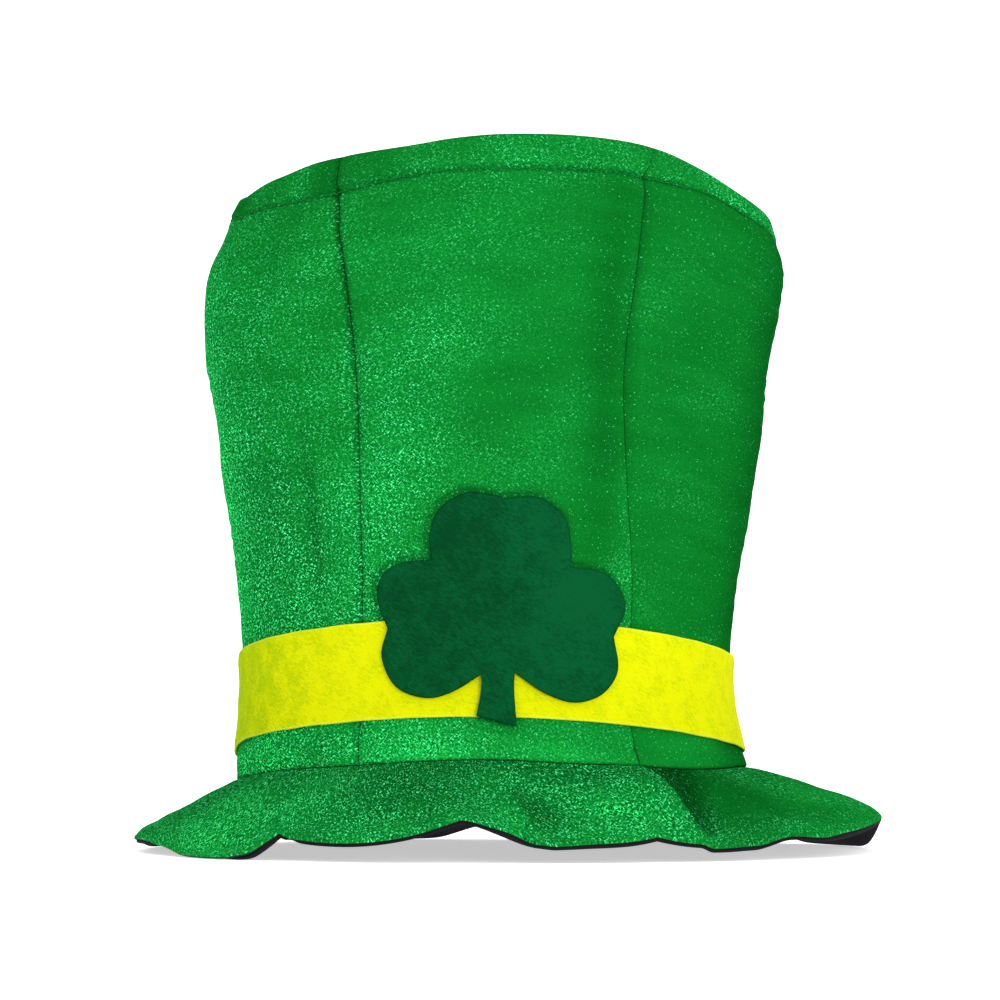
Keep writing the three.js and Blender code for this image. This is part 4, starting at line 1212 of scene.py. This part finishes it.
def mesh_value(tree, name):
    """A value that the mesh holds for each point."""
    return add_node(tree, "ShaderNodeAttribute", attribute_name=name).outputs["Fac"]


def scaled(colour, factor):
    """A colour made lighter or darker by a factor."""
    return tuple(value * factor for value in colour)


def cloth_coordinates(tree, turn, wide, tall):
    """The cloth's own coordinates, turned and then divided by a pattern's width and height in millimetres."""
    uv = add_node(tree, "ShaderNodeUVMap", uv_map="cloth")
    mapping = add_node(tree, "ShaderNodeMapping", {"Vector": uv.outputs["UV"]}, vector_type="TEXTURE")
    mapping.inputs["Rotation"].default_value = (0, 0, math.radians(turn))
    mapping.inputs["Scale"].default_value = (wide * MM, tall * MM, 1)
    return mapping.outputs["Vector"]


def cloth_noise(tree, turn, wide, tall, **settings):
    """Noise over the cloth, turned and stretched, with Blender's usual settings unless others are given."""
    place = cloth_coordinates(tree, turn, wide, tall)
    settings = {"Scale": 1.0, "Detail": 1.0, "Roughness": 0.5, **settings}
    return add_node(tree, "ShaderNodeTexNoise", {"Vector": place}, noise_dimensions="2D", **settings).outputs["Fac"]


def blend_colour(tree, factor, first, second):
    """Output of a Mix node between two colours, each a value or a socket."""
    node = add_node(tree, "ShaderNodeMix", data_type="RGBA")
    tree.links.new(factor, node.inputs["Factor"])
    for slot, colour in ((6, first), (7, second)):
        if isinstance(colour, bpy.types.NodeSocket):
            tree.links.new(colour, node.inputs[slot])
        else:
            node.inputs[slot].default_value = (*colour, 1)
    return node.outputs[2]


def ramp(tree, value, low, high, out_low=0.0, out_high=1.0):
    """A value carried smoothly from one range to another."""
    node = add_node(tree, "ShaderNodeMapRange", {"Value": value}, interpolation_type="SMOOTHSTEP")
    for socket, number in (("From Min", low), ("From Max", high), ("To Min", out_low), ("To Max", out_high)):
        node.inputs[socket].default_value = number
    return node.outputs["Result"]


def maths(tree, operation, first, second):
    """Output of a Math node on two values, each a number or a socket."""
    node = add_node(tree, "ShaderNodeMath", operation=operation)
    for slot, value in enumerate((first, second)):
        if isinstance(value, bpy.types.NodeSocket):
            tree.links.new(value, node.inputs[slot])
        else:
            node.inputs[slot].default_value = value
    return node.outputs[0]


def velvet_material(colours):
    """Knitted panne velvet with glitter threads: the pile lies a little lighter and darker in brushed streaks, the
    mesh's tone paints light and shade on it, and short bright dashes of thread, painted glints with a painted sheen
    of the pile among them, cross in two directions. The threads, 0.2 mm thick, are drawn 0.5 mm wide and 1.3 mm
    long so that they show."""
    material, tree, shader = new_material("panne velvet, pressed pile with glitter thread")
    # glitter holds the share of painted glints and tone the painted light and shade
    share, hem, tone = (mesh_value(tree, name) for name in ("glitter", "hem", "tone"))
    brushed = cloth_noise(tree, 84, 7, 26, Detail=3.0, Roughness=0.55)
    patches = cloth_noise(tree, 0, 6, 6, Detail=2.0)
    dashes = maths(tree, "MAXIMUM", cloth_noise(tree, 52, 0.48, 1.25), cloth_noise(tree, -48, 0.48, 1.25))
    shown = maths(tree, "MULTIPLY", share, maths(tree, "SUBTRACT", 1.0, hem))
    shown = maths(tree, "MULTIPLY", shown, ramp(tree, patches, 0.36, 0.62, 0.5, 1.2))
    # The grain's contrast grows with the share of painted glints
    contrast = maths(tree, "ADD", 0.8, maths(tree, "MULTIPLY", shown, 4.4))
    grain = maths(tree, "MULTIPLY", maths(tree, "SUBTRACT", dashes, 0.57), contrast)
    # The tone paints light and shade into the pile's colour
    light = maths(tree, "MULTIPLY", maths(tree, "EXPONENT", grain, 0.0), tone)
    light = maths(tree, "MULTIPLY", light, ramp(tree, brushed, 0.30, 0.70, 0.93, 1.07))
    # Painted sheen: the pile turns bluer where painted glints show
    most = maths(tree, "MINIMUM", shown, 1.0)
    pile = blend_colour(tree, most, colours.velvet, colours.sheen)
    base = add_node(tree, "ShaderNodeVectorMath", {"Scale": light, "Vector": pile}, operation="SCALE")
    # Painted glints: the brightest dashes turn to the glitter colour, and a few show everywhere
    glint = maths(tree, "MULTIPLY", ramp(tree, dashes, 0.67, 0.79), most)
    glint = maths(tree, "MAXIMUM", glint, ramp(tree, dashes, 0.77, 0.85, 0.0, 0.6))
    colour = blend_colour(tree, glint, base.outputs[0], colours.glitter)
    finish_cloth(tree, shader, colour, 0.85, 0.0, dashes, 0.35, 0.2 * MM)
    return material


def knit_material(colours):
    """Warp-knitted backing of the velvet, dyed with it: matte, with fine ribs 0.9 mm apart."""
    material, tree, shader = new_material("warp-knitted velvet backing")
    place = cloth_coordinates(tree, 0, 0.9, 0.9)
    ribs = add_node(tree, "ShaderNodeTexWave", {"Vector": place}, Scale=0.5, Distortion=1.5).outputs["Fac"]
    colour = blend_colour(tree, ribs, colours.backing, scaled(colours.backing, 1.6))
    finish_cloth(tree, shader, colour, 0.95, 0.05, ribs, 0.4, 0.2 * MM)
    return material


def felt_material(name, light, dark, edge, spread):
    """Pressed polyester craft felt: matte and slightly mottled, with fibres about 0.1 mm thick drawn 0.5 mm wide
    so that they show. The mesh's shade value adds painted shade, and its rim value lays the edge colour along the
    cut edge: a painted highlight on the band and painted shade on the shamrock."""
    material, tree, shader = new_material(name)
    rim, shade = mesh_value(tree, "rim"), mesh_value(tree, "shade")
    mottle = cloth_noise(tree, 0, 8, 8, Detail=4.0, Roughness=0.6)
    fibres = cloth_noise(tree, 62, 0.55, 2.2, Detail=3.0, Roughness=0.65, Distortion=0.8)
    clouds = ramp(tree, mottle, 0.35, 0.65, 0.0, spread)
    tone = maths(tree, "ADD", clouds, ramp(tree, fibres, 0.32, 0.68, -spread, spread))
    # The shade value paints shade towards the dark colour
    face = blend_colour(tree, maths(tree, "ADD", tone, shade), light, dark)
    # The rim value paints the edge colour along the cut edge
    finish_cloth(tree, shader, blend_colour(tree, rim, face, edge), 0.95, 0.01, fibres, 0.35, 0.2 * MM)
    return material


def lining_material(colours):
    """Plain-woven polyester lining: nearly black with a faint violet cast, its 0.35 mm threads drawn 0.8 mm
    apart so that they show."""
    material, tree, shader = new_material("plain-woven polyester lining")
    places = [cloth_coordinates(tree, turn, 0.8, 0.8) for turn in (0, 90)]
    warp, weft = (add_node(tree, "ShaderNodeTexWave", {"Vector": at}, Scale=0.5).outputs["Fac"] for at in places)
    weave = maths(tree, "MULTIPLY", warp, weft)
    colour = blend_colour(tree, weave, colours.lining, scaled(colours.lining, 1.8))
    finish_cloth(tree, shader, colour, 0.85, 0.08, weave, 0.4, 0.15 * MM)
    return material


def thread_material(colour):
    """Spun polyester sewing thread: dull, with the twist of its plies."""
    material, tree, shader = new_material("spun polyester sewing thread")
    place = add_node(tree, "ShaderNodeTexCoord").outputs["Object"]
    twist = add_node(tree, "ShaderNodeTexWave", {"Vector": place}, bands_direction="DIAGONAL", Scale=0.5 / MM)
    finish_cloth(tree, shader, blend_colour(tree, twist.outputs["Fac"], colour, scaled(colour, 1.8)), 0.8, 0.1)
    return material


def studio_material(colours):
    """White acrylic sheet, matte and lit from behind, as under product photographs: even and pale, so that only
    a soft shadow shows on it."""
    material, tree, shader = new_material("matte white acrylic, lit from behind")
    place = add_node(tree, "ShaderNodeTexCoord").outputs["Object"]
    noise = add_node(tree, "ShaderNodeTexNoise", {"Vector": place}, Scale=6.0, Detail=2.0).outputs["Fac"]
    worn = scaled(colours.floor, 0.985)
    tree.links.new(blend_colour(tree, noise, colours.floor, worn), shader.inputs["Base Color"])
    shader.inputs["Roughness"].default_value = 0.9
    shader.inputs["Emission Color"].default_value = (*colours.floor, 1)
    shader.inputs["Emission Strength"].default_value = 0.55
    return material


def velvet_pair(colours):
    """The velvet and its knitted backing, made once for all velvet pieces."""
    if not SHARED:
        SHARED.extend((velvet_material(colours), knit_material(colours)))
    return SHARED


class HAT_OT_crown_panels(bpy.types.Operator):
    """Make the six velvet side panels, each carried up into the lip"""

    bl_idname = "hat.crown_panels"
    bl_label = "Crown Panels"

    def execute(self, context):
        size, colours = context.scene.hat_sizes, context.scene.hat_colours
        for number, (name, *_, tone, glitter) in enumerate(PANEL_SEAMS):
            (outer, inner), angle, at, up, cloth, pressed = panel_grids(size, number)
            shown = PAINTED_GLINTS["wall"] + glitter
            wall = velvet_painted_light(CROWN_PAINTED_LIGHT, angle, at, shown, 51, size.crown_height, size.waist_radius)
            lip = velvet_painted_light(LIP_PAINTED_LIGHT, angle, up, PAINTED_GLINTS["lip"], 52, size.lip_height, size.flare_radius)
            # Each panel's own painted light and shade
            wall["tone"] = wall["tone"] * math.exp(tone)
            turned = ease(up / 0.1)
            values = {key: wall[key] + (lip[key] - wall[key]) * turned for key in wall}
            # Painted shade in the seam grooves and along the stitched line, and the shamrock's painted shadow, darken
            # the pile and thin its painted glints
            beside = shamrock_painted_shadow(size, angle, at)
            values["tone"] = values["tone"] * np.exp(-0.8 * pressed - 0.55 * beside)
            values["glitter"] = values["glitter"] * (1 - 0.6 * beside)
            values["hem"] = np.zeros(angle.shape)
            cloth[..., 0] += number * CLOTH_STEP
            piece = make_shell(f"velvet_panel_{name}", outer, inner, False, cloth, values, two_sided=True)
            hand_over(piece, [f"crown_panel_{name}"], "green_velvet", *velvet_pair(colours))
        return {"FINISHED"}


class HAT_OT_crown_tip(bpy.types.Operator):
    """Make the round piece that closes the top, with its flange turned up inside the lip"""

    bl_idname = "hat.crown_tip"
    bl_label = "Crown Tip"

    def execute(self, context):
        size, colours = context.scene.hat_sizes, context.scene.hat_colours
        (outer, inner), angle, away = tip_grids(size)
        cloth = outer[..., :2]
        values = velvet_painted_light(LIP_PAINTED_LIGHT, angle, away + FAR_FROM_PATCHES, PAINTED_GLINTS["tip"], 61, 1.0, size.flare_radius)
        values["hem"] = np.zeros(angle.shape)
        piece = make_shell("velvet_tip", outer, inner, True, cloth, values, two_sided=True)
        hand_over(piece, ["crown_tip"], "green_velvet", *velvet_pair(colours))
        return {"FINISHED"}


class HAT_OT_lip_stitching(bpy.types.Operator):
    """Make the sewing thread along the line under the lip, one small bent capsule for each stitch"""

    bl_idname = "hat.lip_stitching"
    bl_label = "Lip Stitching"

    def execute(self, context):
        size, colours = context.scene.hat_sizes, context.scene.hat_colours
        piece = make_stitches("lip_stitching", *lip_stitches(size))
        hand_over(piece, [], "green_velvet", thread_material(colours.thread))
        return {"FINISHED"}


class HAT_OT_thread_end(bpy.types.Operator):
    """Make the knotted end of the sewing thread low on the front right seam"""

    bl_idname = "hat.thread_end"
    bl_label = "Thread End"

    def execute(self, context):
        size, colours = context.scene.hat_sizes, context.scene.hat_colours
        piece = make_stitches("thread_end", *thread_end_line(size))
        hand_over(piece, [], "green_velvet", thread_material(colours.thread_end))
        return {"FINISHED"}


class HAT_OT_band(bpy.types.Operator):
    """Make the felt band round the crown's waist"""

    bl_idname = "hat.band"
    bl_label = "Felt Band"

    def execute(self, context):
        size, colours = context.scene.hat_sizes, context.scene.hat_colours
        piece = make_shell("felt_band", *band_grids(size))
        # Felt with painted shade on the band's left side and a painted highlight along its edges
        name = "yellow craft felt, pressed"
        felt = felt_material(name, colours.band, colours.band_shade, colours.band_edge_highlight, 0.35)
        hand_over(piece, ["hat_band"], "yellow_felt", felt)
        return {"FINISHED"}


class HAT_OT_shamrock(bpy.types.Operator):
    """Make the felt shamrock, bent round the crown's front over the band"""

    bl_idname = "hat.shamrock"
    bl_label = "Felt Shamrock"

    def execute(self, context):
        size, colours = context.scene.hat_sizes, context.scene.hat_colours
        piece = make_shell("felt_shamrock", *shamrock_grids(size))
        # Felt with painted highlights and shade, and painted shade along the shamrock's edge
        name = "dark green craft felt, pressed"
        felt = felt_material(name, colours.shamrock, colours.shamrock_shade, colours.shamrock_edge_shade, 0.45)
        hand_over(piece, ["shamrock"], "dark_green_felt", felt)
        return {"FINISHED"}


class HAT_OT_brim_velvet(bpy.types.Operator):
    """Make the brim's velvet, with its gathers, creases and smooth hem"""

    bl_idname = "hat.brim_velvet"
    bl_label = "Brim Velvet"

    def execute(self, context):
        size, colours = context.scene.hat_sizes, context.scene.hat_colours
        angle, out, reach = brim_grid(size)
        upper, lower = brim_velvet_faces(size, angle, out, reach)
        along = out * reach
        turned_down = np.maximum(along - reach + 6 * MM, 0)
        cloth = np.stack([np.radians(angle) * size.brim_radius * 0.9, (along + turned_down) * 0.6], -1)
        # Painted light and shade of the brim's folds and next to the crown, and painted shade beyond the creases,
        # which also thins the painted glints there
        values = velvet_painted_light(BRIM_PAINTED_LIGHT, angle, out, PAINTED_GLINTS["brim"], 91, reach, size.brim_radius)
        dark = crease_painted_shade(angle, out)
        values["tone"] = values["tone"] * np.exp(-dark)
        values["glitter"] = values["glitter"] * (1 - 0.7 * np.clip(dark, 0, 1))
        values["hem"] = 0.35 * ease(1 - (reach - along - size.hem) / (1.5 * MM))
        piece = make_shell("velvet_brim", upper, lower, True, cloth, values, two_sided=True)
        hand_over(piece, ["brim_velvet"], "green_velvet", *velvet_pair(colours))
        return {"FINISHED"}


class HAT_OT_brim_lining(bpy.types.Operator):
    """Make the brim's black lining with its rolled edge"""

    bl_idname = "hat.brim_lining"
    bl_label = "Brim Lining"

    def execute(self, context):
        size, colours = context.scene.hat_sizes, context.scene.hat_colours
        angle, out, reach = brim_grid(size)
        upper, lower = brim_lining_faces(size, angle, out, reach)
        cloth = np.stack([np.radians(angle) * size.brim_radius * 0.85, out * reach], -1)
        piece = make_shell("brim_lining_cloth", upper, lower, True, cloth, {})
        hand_over(piece, ["brim_lining"], "black_lining", lining_material(colours))
        return {"FINISHED"}


class HAT_OT_stage(bpy.types.Operator):
    """Make the studio: a pale floor that sweeps up behind the hat, soft lights and the camera"""

    bl_idname = "hat.stage"
    bl_label = "Studio"

    def execute(self, context):
        scene, colours = context.scene, context.scene.hat_colours
        floor = make_sweep("studio_sweep")
        floor.data.materials.append(studio_material(colours))
        add_light("key", **KEY_LIGHT)
        world = bpy.data.worlds.new("soft studio light")
        world.use_nodes = True
        world.node_tree.nodes["Background"].inputs["Color"].default_value = (1, 1, 1, 1)
        world.node_tree.nodes["Background"].inputs["Strength"].default_value = 1.0
        scene.world = world
        scene.view_settings.view_transform = "Standard"
        data = bpy.data.cameras.new("camera")
        data.lens = LENS
        camera = bpy.data.objects.new("camera", data)
        camera.location = CAMERA_PLACE
        camera.rotation_euler = (math.radians(90 + CAMERA_PITCH), 0, 0)
        scene.collection.objects.link(camera)
        scene.camera = camera
        return {"FINISHED"}


class HAT_PT_pieces(bpy.types.Panel):
    """Sidebar panel with a button for each group of pieces"""

    bl_idname = "HAT_PT_pieces"
    bl_label = "Leprechaun Hat"
    bl_space_type = "VIEW_3D"
    bl_region_type = "UI"
    bl_category = "Hat"

    def draw(self, context):
        for operator in OPERATORS:
            self.layout.operator(operator.bl_idname)
        for group in (context.scene.hat_sizes, context.scene.hat_colours):
            for key in group.bl_rna.properties.keys():
                if key not in ("name", "rna_type"):
                    self.layout.prop(group, key)


OPERATORS = (
    HAT_OT_crown_panels,
    HAT_OT_crown_tip,
    HAT_OT_lip_stitching,
    HAT_OT_thread_end,
    HAT_OT_band,
    HAT_OT_shamrock,
    HAT_OT_brim_velvet,
    HAT_OT_brim_lining,
    HAT_OT_stage,
)
CLASSES = (HatSizes, HatColours, *OPERATORS, HAT_PT_pieces)


def register():
    """Registers the classes and hangs the sizes and colours on the scene."""
    for kind in CLASSES:
        bpy.utils.register_class(kind)
    bpy.types.Scene.hat_sizes = PointerProperty(type=HatSizes)
    bpy.types.Scene.hat_colours = PointerProperty(type=HatColours)


def unregister():
    """Takes them off again."""
    del bpy.types.Scene.hat_colours
    del bpy.types.Scene.hat_sizes
    for kind in reversed(CLASSES):
        bpy.utils.unregister_class(kind)


def main():
    """Makes every piece."""
    register()
    bpy.ops.hat.crown_panels()
    bpy.ops.hat.crown_tip()
    bpy.ops.hat.lip_stitching()
    bpy.ops.hat.thread_end()
    bpy.ops.hat.band()
    bpy.ops.hat.shamrock()
    bpy.ops.hat.brim_velvet()
    bpy.ops.hat.brim_lining()
    bpy.ops.hat.stage()


if __name__ == "__main__":
    main()
